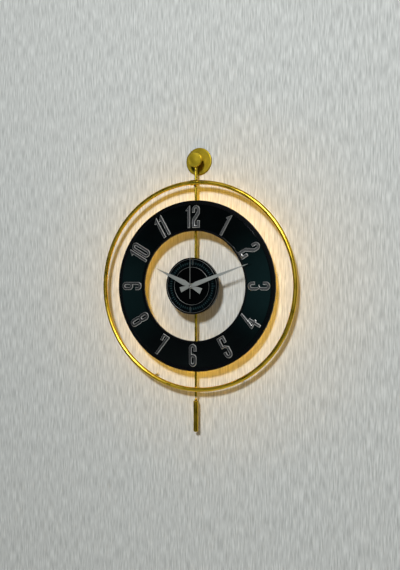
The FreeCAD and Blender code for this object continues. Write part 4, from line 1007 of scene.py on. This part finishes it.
def glow_lamp(name, radius, turn, strength):
    """A small warm lamp behind the dial ring, softened so that its glow carries over the wall."""
    bpy.ops.object.light_add(type="POINT", location=(radius * math.sin(turn), -GLOW_DEPTH,
                                                     HUB_Z + radius * math.cos(turn)))
    lamp = bpy.context.object
    lamp.name = name
    lamp.data.color = (1.0, 0.515, 0.008)
    lamp.data.energy = 1.0
    lamp.data.shadow_soft_size = 0.0015
    lamp.visible_glossy = False
    lamp.data.use_nodes = True
    tree = lamp.data.node_tree
    fall = tree.nodes.new("ShaderNodeLightFalloff")
    fall.inputs["Strength"].default_value = strength
    tree.links.new(fall.outputs["Linear"], tree.nodes["Emission"].inputs["Strength"])


area_lamp("rear_fill", (-0.7, 2.2, 0.5), 1.6, 26, (1.0, 0.99, 0.97))
for number in range(OUTER_LAMPS):
    turn = TURN * (number + 0.5) / OUTER_LAMPS
    glow_lamp("glow_outer_%02d" % (number + 1), OUTER_R, turn,
              0.60 + 0.05 * math.sin(turn) + 0.06 * math.cos(turn) + 0.15 * math.cos(2 * turn))
for number in range(INNER_LAMPS):
    turn = TURN * (number + 0.5) / INNER_LAMPS
    glow_lamp("glow_inner_%02d" % (number + 1), INNER_R, turn,
              0.22 + 0.22 * math.cos(turn + math.radians(60)))

scene.view_settings.view_transform = "Standard"
world = bpy.data.worlds.new("studio_air")
world.use_nodes = True
tree = world.node_tree
direction = tree.nodes.new("ShaderNodeTexCoord").outputs["Generated"]
parts = add_node(tree, "SeparateXYZ", i0=direction).node
left = add_node(tree, "Math", "MULTIPLY", i0=parts.outputs["X"], i1=-1.0)
front = add_node(tree, "Math", "MULTIPLY", i0=parts.outputs["Y"], i1=-1.0)
bearing = add_node(tree, "Math", "ARCTAN2", i0=left, i1=front)
height = add_node(tree, "Math", "ARCSINE", i0=parts.outputs["Z"])
sky_place = add_node(tree, "CombineXYZ", X=bearing, Y=height)


def near(tree, place, bearing, height, inner, outer, strength):
    """A soft round patch of the studio, by its bearing and height in degrees."""
    middle = (math.radians(bearing), math.radians(height), 0)
    gap = add_node(tree, "VectorMath", "DISTANCE", i0=place, i1=middle).node.outputs["Value"]
    patch = add_node(tree, "MapRange", Value=gap, From_Min=math.radians(inner),
                     From_Max=math.radians(outer), To_Min=strength, To_Max=0.0)
    patch.node.interpolation_type = "SMOOTHSTEP"
    return patch


dark_side = near(tree, sky_place, 24, 6, 13, 34, 1.0)
air = layer(tree, dark_side, (0.036, 0.038, 0.038), (0.002, 0.002, 0.003))
teal = add_node(tree, "Math", "ADD", i0=near(tree, sky_place, 16.5, 0, 1.0, 6.5, 1.0),
                i1=near(tree, sky_place, 30.5, -0.5, 1.0, 6.0, 0.62))
low_left = near(tree, sky_place, 24, -15, 5, 14, 1.0)
air = layer(tree, low_left, air, (0.10, 0.13, 0.135))
air = layer(tree, teal, air, (0.13, 0.40, 0.42))
window = near(tree, sky_place, -58, 34, 9, 30, 1.0)
air = layer(tree, window, air, (0.42, 0.41, 0.38))
behind = add_node(tree, "MapRange", Value=front, From_Min=-0.35, From_Max=-0.05,
                  To_Min=1.0, To_Max=0.0)
air = layer(tree, behind, air, (0.15, 0.15, 0.148))
seen = tree.nodes.new("ShaderNodeLightPath").outputs["Is Camera Ray"]
air = layer(tree, seen, air, (0.46, 0.46, 0.45))
tree.links.new(air, tree.nodes["Background"].inputs["Color"])
tree.nodes["Background"].inputs["Strength"].default_value = 1.0
scene.world = world
